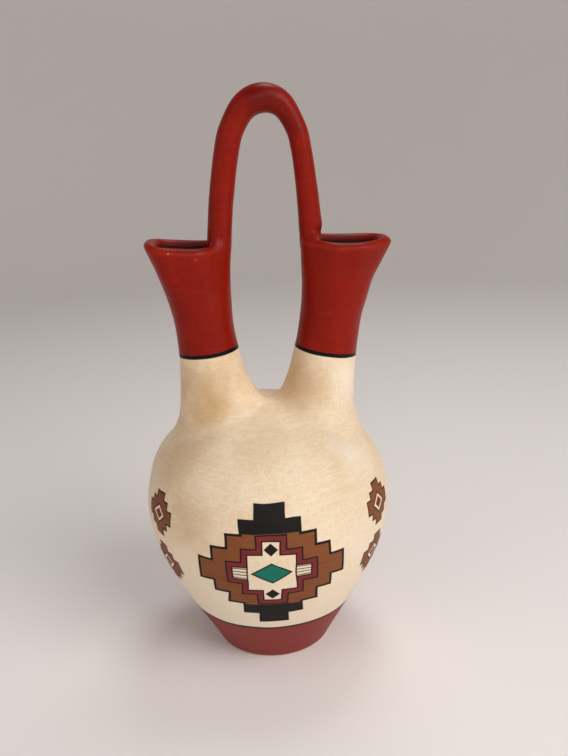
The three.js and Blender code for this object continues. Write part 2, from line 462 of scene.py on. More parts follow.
        def read(points: Array) -> Array:
            """Signed distances to the body's face.

            Args:
                points: the points.

            Returns:
                One distance for each, below zero inside.
            """
            out = np.hypot(points[:, 0], points[:, 1])
            up = points[:, 2] - self.belly_height
            angle = np.arctan2(up, out)
            gap = np.hypot(out, up) - np.interp(angle, angles, reaches)
            return gap * np.interp(angle, angles, shares)

        return read

    def spout_place(self, side: Side, points: Array) -> tuple[Array, Array]:
        """Where points lie on a spout.

        Args:
            side: the spout.
            points: the points.

        Returns:
            Their heights along the spout and their distances outside its outer face.
        """
        track, mouth = self.track(side), self.mouth(side)
        out = side * (points[:, 0] - self.lean_at(points[:, 2]))
        base = self.lip_height - self.lip_round
        up = points[:, 2] - self.lip_rise * smooth_step(points[:, 2], self.bow_start, base)
        nod = mouth.nod * np.clip(-points[:, 1] / self.spout_deep, 0.0, 1.0)
        height = up.copy()
        for _ in range(self.tilt_rounds):
            reach, wide, degrees = track.at(np.minimum(height, base))
            tilt = np.radians(degrees)
            share = np.clip((out - reach) / wide, -self.bow_limit, self.bow_limit)
            bowed = self.mouth_bow * share**2 + mouth.tip * np.maximum(share, 0.0) ** 4
            high = smooth_step(height, self.bow_start, base)
            height = up + (out - reach) * np.tan(tilt) + (nod - bowed) * high
        flat = smooth_step(height, self.mouth_start, self.lip_height)
        across = (out - reach) / np.cos(tilt) / wide
        front = smooth_step(-points[:, 1], self.front_start, self.front_end)
        pinched = mouth.pinch * smooth_step(-across, self.pinch_start, 1.0)
        narrow = pinched + mouth.taper * smooth_step(across, self.pinch_start, 1.0)
        deep = wide * (1.0 - (1.0 - self.mouth_depth) * flat) * (1.0 - narrow * flat * front)
        power = 2.0 + self.mouth_square * flat
        aside, away = np.abs(across), np.abs(points[:, 1]) / deep
        outward = (aside**power + away**power) ** (1.0 / power)
        steep = np.hypot(aside ** (power - 1.0) / wide, away ** (power - 1.0) / deep)
        steep = steep / np.maximum(outward, TINY) ** (power - 1.0)
        gap = (outward - 1.0) / np.maximum(steep, 1.0)
        return height, np.maximum(gap, self.spout_foot - height)

    def necks(self, points: Array) -> Array:
        """The outer faces of both necks, joined over the saddle."""
        left, right = (self.spout_place(side, points)[1] for side in Side)
        return smooth_union(left, right, self.saddle_blend)

    def jar_outer(self, points: Array) -> Array:
        """The outer face of the body with both necks grown out of it."""
        body = self.body_field(0.0)(points) - self.swell_at(points)
        return smooth_union(self.necks(points), body, self.root_blend) + self.wobble_at(points)

    def jar_inner(self, points: Array) -> Array:
        """The hollow of the body with both neck bores."""
        bores, hollow = self.necks(points) + self.spout_wall, self.body_field(self.body_wall)(points)
        return smooth_union(bores, hollow, self.root_blend) + self.wobble_at(points)

    def jar_clay(self, points: Array) -> Array:
        """The wall of the jar."""
        return np.maximum(self.jar_outer(points), -self.jar_inner(points))

    def leg_clay(self, side: Side, points: Array) -> Array:
        """A leg of the handle, which ends in a smear over the wall below the lip.

        Args:
            side: the leg.
            points: the points.

        Returns:
            Its field at the points.
        """
        seam, rise = self.leg_foot(side)
        up, deep = points[:, 2], points[:, 1]
        drop = up - seam.z
        centre = seam.x + rise.x / rise.z * drop - side * self.leg_bend * drop * drop
        out = side * (points[:, 0] - centre) * rise.z
        under = np.clip((self.lip_height - up) / self.leg_end, 0.0, 1.0)
        round_end = np.sqrt(1.0 - under * under)
        if side is Side.LEFT:
            return np.hypot(out, deep) - self.handle_left / 2.0 * round_end
        mouthward = facing(out, deep, self.mouthward_start, self.mouthward_end)
        low = 1.0 - smooth_step(up, self.notch_low, self.notch_high)
        radius = (self.handle_right + self.handle_flare) / 2.0 * round_end
        return np.hypot(out, deep) - (radius - self.notch * mouthward * low)

    def legward(self, side: Side, points: Array) -> Array:
        """How squarely places on a spout face the leg of the handle.

        Args:
            side: the spout.
            points: the places.

        Returns:
            Values from 0 to 1.
        """
        up = points[:, 2]
        inward = self.track(side).at(up)[0] - side * (points[:, 0] - self.lean_at(up))
        return facing(inward, points[:, 1], self.legward_start, self.legward_end)

    def spout_clay(self, side: Side, points: Array) -> Array:
        """The wall of a spout with its rounded lip and the foot of the handle, smeared down the wall.

        Args:
            side: the spout.
            points: the points.

        Returns:
            Its field at the points.
        """
        height, outside = self.spout_place(side, points)
        base = self.lip_height - self.lip_round
        legward = self.legward(side, points)
        smear = self.smear * legward * smooth_step(height, self.smear_start, self.smear_end)
        across = outside + (self.spout_wall - smear) / 2.0
        half_wall = (self.spout_wall + smear) / 2.0
        half_lip = half_wall + (self.lip_thickness / 2.0 - half_wall) * (1.0 - legward)
        half = half_wall + (half_lip - half_wall) * smooth_step(height, base - self.lip_swell, base)
        wall = np.abs(across) - half
        aside, above = np.abs(across) / half_lip, np.maximum(height - base, 0.0) / self.lip_round
        crown = (aside**self.lip_edge + above**self.lip_edge) ** (1.0 / self.lip_edge) - 1.0
        shell = np.where(height < base, wall, crown * half_lip)
        joined = smooth_union(shell, self.leg_clay(side, points), self.foot_fillet(side, points))
        seam = self.leg_stations[0][0]
        calm = 1.0 - smooth_step(points[:, 2], self.lip_height, seam)
        return joined + self.wobble_at(points) * calm

    def foot_fillet(self, side: Side, points: Array) -> Array:
        """How far the fillet at the foot of a leg reaches.

        It is wide at the front and the back, tight towards the mouth, and next to nothing where the leg
        and the spout run side by side or near the seam with the handle.

        Args:
            side: the spout.
            points: the points.

        Returns:
            Lengths.
        """
        up, deep = points[:, 2], points[:, 1]
        seam, reach = self.leg_stations[0]
        leg = side * (points[:, 0] - self.handle_lean_at(up)) - reach
        mouth = self.track(side).values[-1, 0]
        wall = side * (points[:, 0] - self.lean_at(up)) - mouth
        lengths = (np.hypot(leg, deep) + TINY) * np.hypot(wall, deep) + TINY
        together = (leg * wall + deep * deep) / lengths
        mouthward = facing(leg, deep, self.mouthward_start, self.mouthward_end)
        width = self.foot_blend + (self.mouth_blend - self.foot_blend) * mouthward
        fade = 1.0 - smooth_step(up, self.lip_height + self.lip_round, seam)
        return np.maximum(width * np.clip(1.0 - together, 0.0, 1.0) * fade, self.least_blend)


class ClaySkin:
    """Draws a mesh over a field: quads from a grid of cells, evened out and settled on the zero.

    Attributes:
        CORNERS: the corners of a cell.
        PROBE: how far apart the field is read for its slope.
        LEAST_SLOPE: the least square of a slope that a move is divided by.
        EASE: share of the way that a point moves towards its neighbours' middle.
    """

    CORNERS = np.array([(i, j, k) for i in (0, 1) for j in (0, 1) for k in (0, 1)])
    PROBE = 0.00015
    LEAST_SLOPE = 0.05
    EASE = 0.5

    def __init__(self, clay: Field, cell: float, rounds: int = 8) -> None:
        """Takes the field to draw.

        Args:
            clay: the field.
            cell: edge of a grid cell.
            rounds: how often the points are evened out.
        """
        self.clay = clay
        self.cell = cell
        self.rounds = rounds

    def slope(self, points: Array) -> Array:
        """The steepest direction of the field at some points.

        Args:
            points: the points.

        Returns:
            One direction for each, as long as the field is steep.
        """
        steps = np.eye(3) * self.PROBE
        rises = [self.clay(points + step) - self.clay(points - step) for step in steps]
        return np.stack(rises, axis=1) / (2.0 * self.PROBE)

    def settle(self, points: Array) -> Array:
        """Moves points on to the zero of the field, by one cell at most.

        Args:
            points: the points.

        Returns:
            The moved points.
        """
        slope = self.slope(points)
        length = np.maximum(np.sum(slope * slope, axis=1), self.LEAST_SLOPE)
        move = np.clip(self.clay(points) / length, -self.cell, self.cell)
        return points - move[:, None] * slope

    def draw(self, low: Sequence[float], high: Sequence[float]) -> tuple[Array, NDArray[np.int64]]:
        """Draws the skin inside a box.

        Args:
            low: lowest corner of the box.
            high: highest corner of the box.

        Returns:
            Points and quads.
        """
        axes = [np.arange(start, end, self.cell) for start, end in zip(low, high)]
        grid = np.stack(np.meshgrid(*axes, indexing="ij"), axis=-1)
        values = self.clay(grid.reshape(-1, 3)).reshape(grid.shape[:3])
        inside = values < 0.0
        size = np.array(values.shape) - 1
        filled = np.zeros(size, dtype=np.int8)
        for i, j, k in self.CORNERS:
            filled += inside[i : i + size[0], j : j + size[1], k : k + size[2]]
        cells = np.argwhere((filled > 0) & (filled < len(self.CORNERS)))
        numbers = np.full(size, -1, dtype=np.int64)
        numbers[tuple(cells.T)] = np.arange(len(cells))
        points = np.array(low) + (cells + self.crossings(values, cells)) * self.cell
        quads = self.quads(inside, numbers)
        return self.even_out(points, quads), quads

    def crossings(self, values: Array, cells: NDArray[np.int64]) -> Array:
        """The middle of the places where the zero crosses the edges of each cell.

        Args:
            values: the field on the grid.
            cells: the cells that the zero runs through.

        Returns:
            One place in each cell, in shares of the cell.
        """
        corner = np.stack([values[tuple((cells + shift).T)] for shift in self.CORNERS], axis=1)
        total = np.zeros((len(cells), 3))
        hits = np.zeros(len(cells))
        for a, start in enumerate(self.CORNERS):
            for b, end in enumerate(self.CORNERS):
                if b < a or np.abs(end - start).sum() != 1:
                    continue
                first, second = corner[:, a], corner[:, b]
                crossed = (first < 0.0) != (second < 0.0)
                share = np.where(crossed, first / np.where(crossed, first - second, 1.0), 0.0)
                total += crossed[:, None] * (start + share[:, None] * (end - start))
                hits += crossed
        return total / hits[:, None]

    @staticmethod
    def quads(inside: NDArray[np.bool_], numbers: NDArray[np.int64]) -> NDArray[np.int64]:
        """The quads round every grid edge that the zero crosses, turned outwards.

        Args:
            inside: which grid points lie in the clay.
            numbers: the point number of each cell, or -1.

        Returns:
            Rows of four point numbers.
        """
        found = []
        for axis in range(3):
            second, third = (axis + 1) % 3, (axis + 2) % 3
            start = np.moveaxis(inside, axis, 0)[:-1]
            end = np.moveaxis(inside, axis, 0)[1:]
            edges = np.argwhere(np.moveaxis(start != end, 0, axis))
            limit = np.array(numbers.shape)
            inner = (edges[:, second] > 0) & (edges[:, third] > 0)
            inner &= (edges[:, second] < limit[second]) & (edges[:, third] < limit[third])
            edges = edges[inner]
            back, down = np.zeros(3, dtype=np.int64), np.zeros(3, dtype=np.int64)
            back[second] = 1
            down[third] = 1
            ring = [edges - back - down, edges - down, edges, edges - back]
            quad = np.stack([numbers[tuple(place.T)] for place in ring], axis=1)
            outwards = inside[tuple(edges.T)]
            found.append(np.where(outwards[:, None], quad, quad[:, ::-1]))
        return np.vstack(found)

    def even_out(self, points: Array, quads: NDArray[np.int64]) -> Array:
        """Spreads the points evenly and settles them.

        Args:
            points: the points.
            quads: the quads between them.

        Returns:
            The moved points.
        """
        pairs = quads[:, [[0, 1], [1, 2], [2, 3], [3, 0]]].reshape(-1, 2)
        edges = np.unique(np.sort(pairs, axis=1), axis=0)
        count = len(points)
        degree = np.maximum(np.bincount(edges.ravel(), minlength=count), 1)
        for _ in range(self.rounds):
            total = np.zeros_like(points)
            for axis in range(3):
                first = np.bincount(edges[:, 0], points[edges[:, 1], axis], count)
                total[:, axis] = first + np.bincount(edges[:, 1], points[edges[:, 0], axis], count)
            middles = total / degree[:, None]
            points = self.settle(points + self.EASE * (middles - points))
        return self.settle(points)


class ClayMesh:
    """A mesh being cut to its piece."""

    def __init__(self, points: Array, quads: NDArray[np.int64]) -> None:
        """Takes a skin.

        Args:
            points: its points.
            quads: its quads, as rows of four point numbers.
        """
        mesh = bpy.data.meshes.new("clay")
        mesh.from_pydata(points.tolist(), [], quads.tolist())
        self.work = bmesh.new()
        self.work.from_mesh(mesh)
        bpy.data.meshes.remove(mesh)
        for face in self.work.faces:
            face.smooth = True

    def trim(self, point: Vector, normal: Vector, near: Callable[[Vector], bool]) -> None:
        """Cuts off what lies beyond a plane and closes the cut.

        Args:
            point: a point of the plane.
            normal: the side that goes.
            near: tells whether a place is in the part that is cut.
        """
        faces = [face for face in self.work.faces if near(face.calc_center_median())]
        verts = {vert for face in faces for vert in face.verts}
        edges = {edge for face in faces for edge in face.edges}
        cut = bmesh.ops.bisect_plane(
            self.work,
            geom=[*verts, *edges, *faces],
            dist=WELD,
            plane_co=point,
            plane_no=normal,
            clear_outer=True,
        )
        rim = [item for item in cut["geom_cut"] if isinstance(item, bmesh.types.BMEdge)]
        rim = [edge for edge in rim if edge.is_boundary]
        for edge in rim:
            edge.smooth = False
        if self.loops(rim) == 2:
            bmesh.ops.bridge_loops(self.work, edges=rim)
        else:
            bmesh.ops.contextual_create(self.work, geom=rim)

    @staticmethod
    def loops(edges: Sequence[bmesh.types.BMEdge]) -> int:
        """Counts the closed loops among edges.

        Args:
            edges: the edges.

        Returns:
            The count.
        """
        left = set(edges)
        count = 0
        while left:
            count += 1
            front = [left.pop()]
            while front:
                edge = front.pop()
                nearby = [e for vert in edge.verts for e in vert.link_edges if e in left]
                left.difference_update(nearby)
                front.extend(nearby)
        return count

    def to_mesh(self, name: str) -> bpy.types.Mesh:
        """The finished mesh, with every face turned outwards.

        Args:
            name: its name.

        Returns:
            The mesh.
        """
        loose = [vert for vert in self.work.verts if not vert.link_faces]
        bmesh.ops.delete(self.work, geom=loose, context="VERTS")
        big = [face for face in self.work.faces if len(face.verts) > 4]
        bmesh.ops.triangulate(self.work, faces=big)
        bmesh.ops.recalc_face_normals(self.work, faces=self.work.faces[:])
        mesh = bpy.data.meshes.new(name)
        self.work.to_mesh(mesh)
        self.work.free()
        return mesh


class NodeSketch:
    """Adds nodes to a tree and wires them, so that a formula reads as one line."""

    def __init__(self, tree: bpy.types.NodeTree) -> None:
        """Takes the tree to draw in."""
        self.tree = tree

    def put(self, socket: Socket, value: object) -> None:
        """Links a socket to an output, or sets its value.

        Args:
            socket: the socket.
            value: an output, or a value of the socket's kind.
        """
        if isinstance(value, bpy.types.NodeSocket):
            self.tree.links.new(value, socket)
        elif socket.type == "RGBA":
            socket.default_value = (*value, 1.0)
        else:
            socket.default_value = value

    def node(self, kind: str, inputs: Inputs | None = None, **settings: object) -> bpy.types.Node:
        """Adds a node.

        Args:
            kind: its type.
            inputs: what goes into its sockets, by name or number.
            settings: its other properties.

        Returns:
            The node.
        """
        node = self.tree.nodes.new(kind)
        for name, value in settings.items():
            setattr(node, name, value)
        for name, value in (inputs or {}).items():
            self.put(node.inputs[name], value)
        return node

    def math(self, operation: str, *values: Value, clamp: bool = False) -> Socket:
        """The result of a Math node."""
        node = self.node("ShaderNodeMath", dict(enumerate(values)), operation=operation, use_clamp=clamp)
        return node.outputs[0]

    def split(self, vector: Socket) -> list[Socket]:
        """The three parts of a vector."""
        return list(self.node("ShaderNodeSeparateXYZ", {0: vector}).outputs)

    def join(self, x: Value, y: Value, z: Value) -> Socket:
        """A vector of three parts."""
        return self.node("ShaderNodeCombineXYZ", {0: x, 1: y, 2: z}).outputs[0]

    def noise(self, place: Socket, scale: Value, detail: float = 2.0) -> Socket:
        """A cloudy value about a half."""
        inputs = {"Vector": place, "Scale": scale, "Detail": detail}
        return self.node("ShaderNodeTexNoise", inputs).outputs[0]

    def stretch(self, place: Socket, x: Value, y: Value, z: Value) -> Socket:
        """A place with its three parts multiplied."""
        inputs = {0: place, 1: self.join(x, y, z)}
        return self.node("ShaderNodeVectorMath", inputs, operation="MULTIPLY").outputs[0]

    def ramp(self, value: Value, low: Value, high: Value) -> Socket:
        """Runs softly from 0 at low to 1 at high."""
        inputs = {"Value": value, "From Min": low, "From Max": high}
        return self.node("ShaderNodeMapRange", inputs, interpolation_type="SMOOTHSTEP").outputs[0]

    def below(self, value: Socket, limit: float, soft: float) -> Socket:
        """1 where a value is under a limit, with a soft edge."""
        return self.math("MULTIPLY_ADD", value, -1.0 / soft, limit / soft + 0.5, clamp=True)

    def blend(self, share: Value, first: Colour | Socket, second: Colour | Socket) -> Socket:
        """A colour between two others."""
        return self.node("ShaderNodeMix", {0: share, 6: first, 7: second}, data_type="RGBA").outputs[2]


class GeometryTree(NodeSketch):
    """A Geometry Nodes tree with named inputs, run once on a base line."""

    def __init__(self, name: str) -> None:
        """Makes the tree with its geometry sockets.

        Args:
            name: its name.
        """
        super().__init__(bpy.data.node_groups.new(name, "GeometryNodeTree"))
        self.named: dict[str, str] = {}
        self.tree.interface.new_socket("Geometry", in_out="INPUT", socket_type="NodeSocketGeometry")
        self.tree.interface.new_socket("Geometry", in_out="OUTPUT", socket_type="NodeSocketGeometry")
        self.source = self.tree.nodes.new("NodeGroupInput")

    def take(self, name: str, kind: str) -> Socket:
        """Adds a named input to the tree.

        Args:
            name: its name.
            kind: its type of socket.

        Returns:
            Its socket inside the tree.
        """
        made = self.tree.interface.new_socket(name, in_out="INPUT", socket_type=kind)
        self.named[name] = made.identifier
        return self.source.outputs[name]

    def finish(self, geometry: Socket, material: Socket) -> None:
        """Ends the tree with smooth faces, realised and dressed.

        Args:
            geometry: the finished geometry.
            material: its finish.
        """
        smooth = self.node("GeometryNodeSetShadeSmooth", {"Geometry": geometry})
        real = self.node("GeometryNodeRealizeInstances", {"Geometry": smooth.outputs[0]})
        dressed = self.node("GeometryNodeSetMaterial", {"Geometry": real.outputs[0], "Material": material})
        target = self.tree.nodes.new("NodeGroupOutput")
        self.tree.links.new(dressed.outputs[0], target.inputs[0])

    def run(self, line: Sequence[Sequence[float]], values: Inputs) -> bpy.types.Mesh:
        """Runs the tree on a line of points.

        Args:
            line: the points, in order.
            values: what goes into the named inputs.

        Returns:
            The plain mesh that it makes.
        """
        base = bpy.data.meshes.new(self.tree.name)
        base.from_pydata(list(line), [(i, i + 1) for i in range(len(line) - 1)], [])
        maker = bpy.data.objects.new(self.tree.name, base)
        bpy.context.scene.collection.objects.link(maker)
        modifier = maker.modifiers.new(self.tree.name, "NODES")
        modifier.node_group = self.tree
        for name, value in values.items():
            modifier[self.named[name]] = value
        seen = maker.evaluated_get(bpy.context.evaluated_depsgraph_get())
        made = bpy.data.meshes.new_from_object(seen)
        bpy.data.objects.remove(maker)
        bpy.data.meshes.remove(base)
        return made


class TurnedForm(GeometryTree):
    """Turns a profile of points in the XZ plane about +Z."""

    def __init__(self) -> None:
        """Builds the tree."""
        super().__init__("turned_form")
        around = self.take("Facets Around", "NodeSocketInt")
        weld = self.take("Weld Distance", "NodeSocketFloat")
        material = self.take("Material", "NodeSocketMaterial")
        profile = self.source.outputs["Geometry"]
        count = self.node("GeometryNodeAttributeDomainSize", {"Geometry": profile}, component="MESH")
        ring = self.math("ADD", around, 1.0)
        grid = self.node("GeometryNodeMeshGrid", {"Vertices X": count.outputs[0], "Vertices Y": ring})
        index = self.node("GeometryNodeInputIndex").outputs[0]
        row = self.math("FLOOR", self.math("DIVIDE", index, ring))
        turn = self.math("SUBTRACT", index, self.math("MULTIPLY", row, ring))
        angle = self.math("MULTIPLY", self.math("DIVIDE", turn, around), math.tau)
        place = self.node("GeometryNodeInputPosition").outputs[0]
        sample = self.node(
            "GeometryNodeSampleIndex",
            {"Geometry": profile, "Value": place, "Index": row},
            data_type="FLOAT_VECTOR",
        )
        radius, _, height = self.split(sample.outputs[0])
        x = self.math("MULTIPLY", radius, self.math("COSINE", angle))
        y = self.math("MULTIPLY", radius, self.math("SINE", angle))
        turned = self.node(
            "GeometryNodeSetPosition",
            {"Geometry": grid.outputs["Mesh"], "Position": self.join(x, y, height)},
        )
        welded = self.node("GeometryNodeMergeByDistance", {"Geometry": turned.outputs[0], "Distance": weld})
        self.finish(welded.outputs[0], material)


class RolledForm(GeometryTree):
    """Rolls a bar of clay along a line of stations, swelling towards its middle.

    Attributes:
        SMOOTHING: samples between two stations.
        CHANGE: shares of the line between which the start's thickness gives way to the end's.
        FLARE_FOCUS: how close the flare keeps to the end.
        LUMPS: lumps of unevenness in a metre.
        EASE_IN: how fast the lumps set in above the seam, in shares for each metre.
    """

    SMOOTHING = 24
    CHANGE = (0.3, 0.7)
    FLARE_FOCUS = 10.0
    LUMPS = 55.0
    EASE_IN = 80.0

    def __init__(self) -> None:
        """Builds the tree."""
        super().__init__("rolled_form")
        along = self.take("Facets Along", "NodeSocketInt")
        around = self.take("Facets Around", "NodeSocketInt")
        start = self.take("Start Thickness", "NodeSocketFloat")
        middle = self.take("Middle Thickness", "NodeSocketFloat")
        end = self.take("End Thickness", "NodeSocketFloat")
        flare = self.take("End Flare", "NodeSocketFloat")
        focus = self.take("Middle Focus", "NodeSocketFloat")
        uneven = self.take("Unevenness", "NodeSocketFloat")
        material = self.take("Material", "NodeSocketMaterial")
        curve = self.node("GeometryNodeMeshToCurve", {"Mesh": self.source.outputs["Geometry"]})
        flowing = self.node(
            "GeometryNodeCurveSplineType",
            {"Curve": curve.outputs[0]},
            spline_type="CATMULL_ROM",
        )
        inputs = {0: flowing.outputs[0], "Resolution": self.SMOOTHING}
        fine = self.node("GeometryNodeSetSplineResolution", inputs)
        even = self.node("GeometryNodeResampleCurve", {"Curve": fine.outputs[0], "Count": along})
        place = self.node("GeometryNodeSplineParameter").outputs["Factor"]
        right = self.ramp(place, *self.CHANGE)
        foot = self.math("MULTIPLY_ADD", right, self.math("SUBTRACT", end, start), start)
        mean = self.math("MULTIPLY", self.math("ADD", start, end), 0.5)
        arch = self.math("SINE", self.math("MULTIPLY", place, math.pi))
        swell = self.math("MULTIPLY", self.math("SUBTRACT", middle, mean), self.math("POWER", arch, focus))
        near_end = self.math("POWER", place, self.FLARE_FOCUS)
        foot = self.math("MULTIPLY_ADD", near_end, flare, foot)
        radius = self.math("MULTIPLY", self.math("ADD", foot, swell), 0.5)
        ring = self.node("GeometryNodeCurvePrimitiveCircle", {"Resolution": around, "Radius": 1.0})
        roll = self.node(
            "GeometryNodeCurveToMesh",
            {"Curve": even.outputs[0], "Profile Curve": ring.outputs[0], "Scale": radius, "Fill Caps": True},
        )
        place = self.node("GeometryNodeInputPosition").outputs[0]
        height = self.math("SUBTRACT", self.split(place)[2], self.take("Even Below", "NodeSocketFloat"))
        inner = self.math("MULTIPLY", height, self.EASE_IN, clamp=True)
        cloud = self.math("SUBTRACT", self.noise(place, self.LUMPS, detail=1.0), 0.5)
        rise = self.math("MULTIPLY", self.math("MULTIPLY", cloud, uneven), inner)
        normal = self.node("GeometryNodeInputNormal").outputs[0]
        push = self.node("ShaderNodeVectorMath", {0: normal, "Scale": rise}, operation="SCALE")
        uneven_roll = self.node(
            "GeometryNodeSetPosition",
            {"Geometry": roll.outputs[0], "Offset": push.outputs[0]},
        )
        self.finish(uneven_roll.outputs[0], material)


def add_piece(
    mesh: bpy.types.Mesh, material: bpy.types.Material, nodes: Sequence[str]
) -> bpy.types.Object:
    """Puts a finished mesh into the scene as a piece of the vase.

    Args:
        mesh: the mesh, whose name becomes the piece's.
        material: its finish.
        nodes: the solids that it stands for.

    Returns:
        The piece.
    """
    mesh.materials.clear()
    mesh.materials.append(material)
    piece = bpy.data.objects.new(mesh.name, mesh)
    bpy.context.scene.collection.objects.link(piece)
    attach(piece, "root")
    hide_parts(*nodes)
    return piece


def mesh_points(mesh: bpy.types.Mesh) -> Array:
    """The places of a mesh's points.

    Args:
        mesh: the mesh.

    Returns:
        One row for each point.
    """
    places = np.empty(3 * len(mesh.vertices))
    mesh.vertices.foreach_get("co", places)
    return places.reshape(-1, 3)


def mark_points(mesh: bpy.types.Mesh, name: str, values: Array) -> None:
    """Keeps one value for each point of a mesh as a named attribute."""
    layer = mesh.attributes.new(name, "FLOAT", "POINT")
    layer.data.foreach_set("value", np.asarray(values, dtype=np.float32))


def crisp_caps(mesh: bpy.types.Mesh, slant: float = 0.6) -> bpy.types.Mesh:
    """Turns a closed mesh outwards and keeps its sharp edges sharp.

    Args:
        mesh: the mesh.
        slant: edges that turn more than this, in radians, stay sharp.

    Returns:
        The same mesh.
    """
    work = bmesh.new()
    work.from_mesh(mesh)
    bmesh.ops.recalc_face_normals(work, faces=work.faces[:])
    for edge in work.edges:
        edge.smooth = len(edge.link_faces) == 2 and edge.calc_face_angle(0.0) < slant
    work.to_mesh(mesh)
    work.free()
    return mesh


@dataclass
class Jar:
    """The red base and the cream body with its shoulder and necks."""

    shape: VaseShape

    # Facets of the base and points of its profile
    around: int = 192
    edge_steps: int = 9
    outside_steps: int = 26
    inside_steps: int = 16
    corner_steps: int = 7

    # Grid of the body's skin, with room round the belly and beyond each cut
    cell: float = 0.00116
    spare_cells: int = 3
    margin: float = 0.008

    # Coil courses of the body, and the shares of its wall between which the inside's colour sets in
    courses: int = 4
    hollow_start: float = 0.5
    hollow_end: float = 0.8

    @staticmethod
    def at_heights(line: Array, heights: Array) -> Array:
        """The points of an outline at some heights."""
        return np.stack([np.interp(heights, line[:, 1], line[:, 0]), heights], axis=1)

    def base_profile(self) -> Array:
        """The profile of the base bowl, from the middle of its foot round to the middle of its floor.

        Returns:
            Rows of a radius and a height.
        """
        shape = self.shape
        edge, bend, top = shape.foot_edge, shape.floor_round, shape.band_height
        quarter = math.pi / 2.0
        turn = np.linspace(0.0, quarter - shape.foot_flare, self.edge_steps)
        flat = shape.foot_radius - edge * math.tan(turn[-1] / 2.0)
        worn = np.stack([flat + edge * np.sin(turn), edge - edge * np.cos(turn)], axis=1)
        heights = np.linspace(worn[-1, 1], top, self.outside_steps)
        outside = self.at_heights(shape.wall_line(), heights)
        heights = np.linspace(top, shape.floor + bend, self.inside_steps)
        inside = self.at_heights(shape.wall_line(shape.body_wall), heights)
        turn = np.linspace(0.0, quarter, self.corner_steps)
        low = inside[-1]
        corner = np.stack([low[0] - bend * (1.0 - np.cos(turn)), low[1] - bend * np.sin(turn)], axis=1)
        start, end = np.array([[0.0, 0.0]]), np.array([[0.0, shape.floor]])
        return np.vstack([start, worn[:-1], outside, inside, corner[1:], end])

    def build_base(self, material: bpy.types.Material) -> bpy.types.Object:
        """Turns the base bowl.

        Args:
            material: its finish.

        Returns:
            The piece.
        """
        profile = self.base_profile()
        line = np.stack([profile[:, 0], np.zeros(len(profile)), profile[:, 1]], axis=1)
        values = {"Facets Around": self.around, "Weld Distance": WELD, "Material": material}
        mesh = crisp_caps(TurnedForm().run(line.tolist(), values))
        mesh.name = "base"
        points = mesh_points(mesh)
        depth = -self.shape.body_field(0.0)(points)
        inner = (points[:, 2] > self.shape.floor / 2.0) & (depth > self.shape.body_wall / 2.0)
        mark_points(mesh, HOLLOW, inner)
        return add_piece(mesh, material, ["base_bowl"])

    def build_body(self, material: bpy.types.Material) -> bpy.types.Object:
        """Draws the cream body up to the black lines of the necks.

        Args:
            material: its finish.

        Returns:
            The piece.
        """
        shape = self.shape
        reach = shape.belly_radius + self.spare_cells * self.cell
        top = max(line.height for line in shape.neck_lines) + self.margin
        low = (-reach, -reach, shape.band_height - self.margin)
        points, quads = ClaySkin(shape.jar_clay, self.cell).draw(low, (reach, reach, top))
        clay = ClayMesh(points, quads)
        base = Vector((0.0, 0.0, shape.band_height))
        clay.trim(base, Vector((0.0, 0.0, -1.0)), lambda place: place.z < 2.0 * shape.band_height)
        for line in shape.neck_lines:
            split = line.height - 2.0 * self.margin
            middle = shape.lean_at(np.array(line.height))
            clay.trim(
                line.point(),
                line.normal(),
                lambda place, line=line: place.z > split and (place.x - middle) * line.side > 0.0,
            )
        coils = [f"body_coil_{course}" for course in range(1, self.courses + 1)]
        necks = [f"{side.word}_neck_{part}" for side in Side for part in ("root", "coil")]
        mesh = clay.to_mesh("body")
        depth = -shape.jar_outer(mesh_points(mesh)) / shape.spout_wall
        mark_points(mesh, HOLLOW, smooth_step(depth, self.hollow_start, self.hollow_end))
        return add_piece(mesh, material, [*coils, "shoulder_cap", *necks])


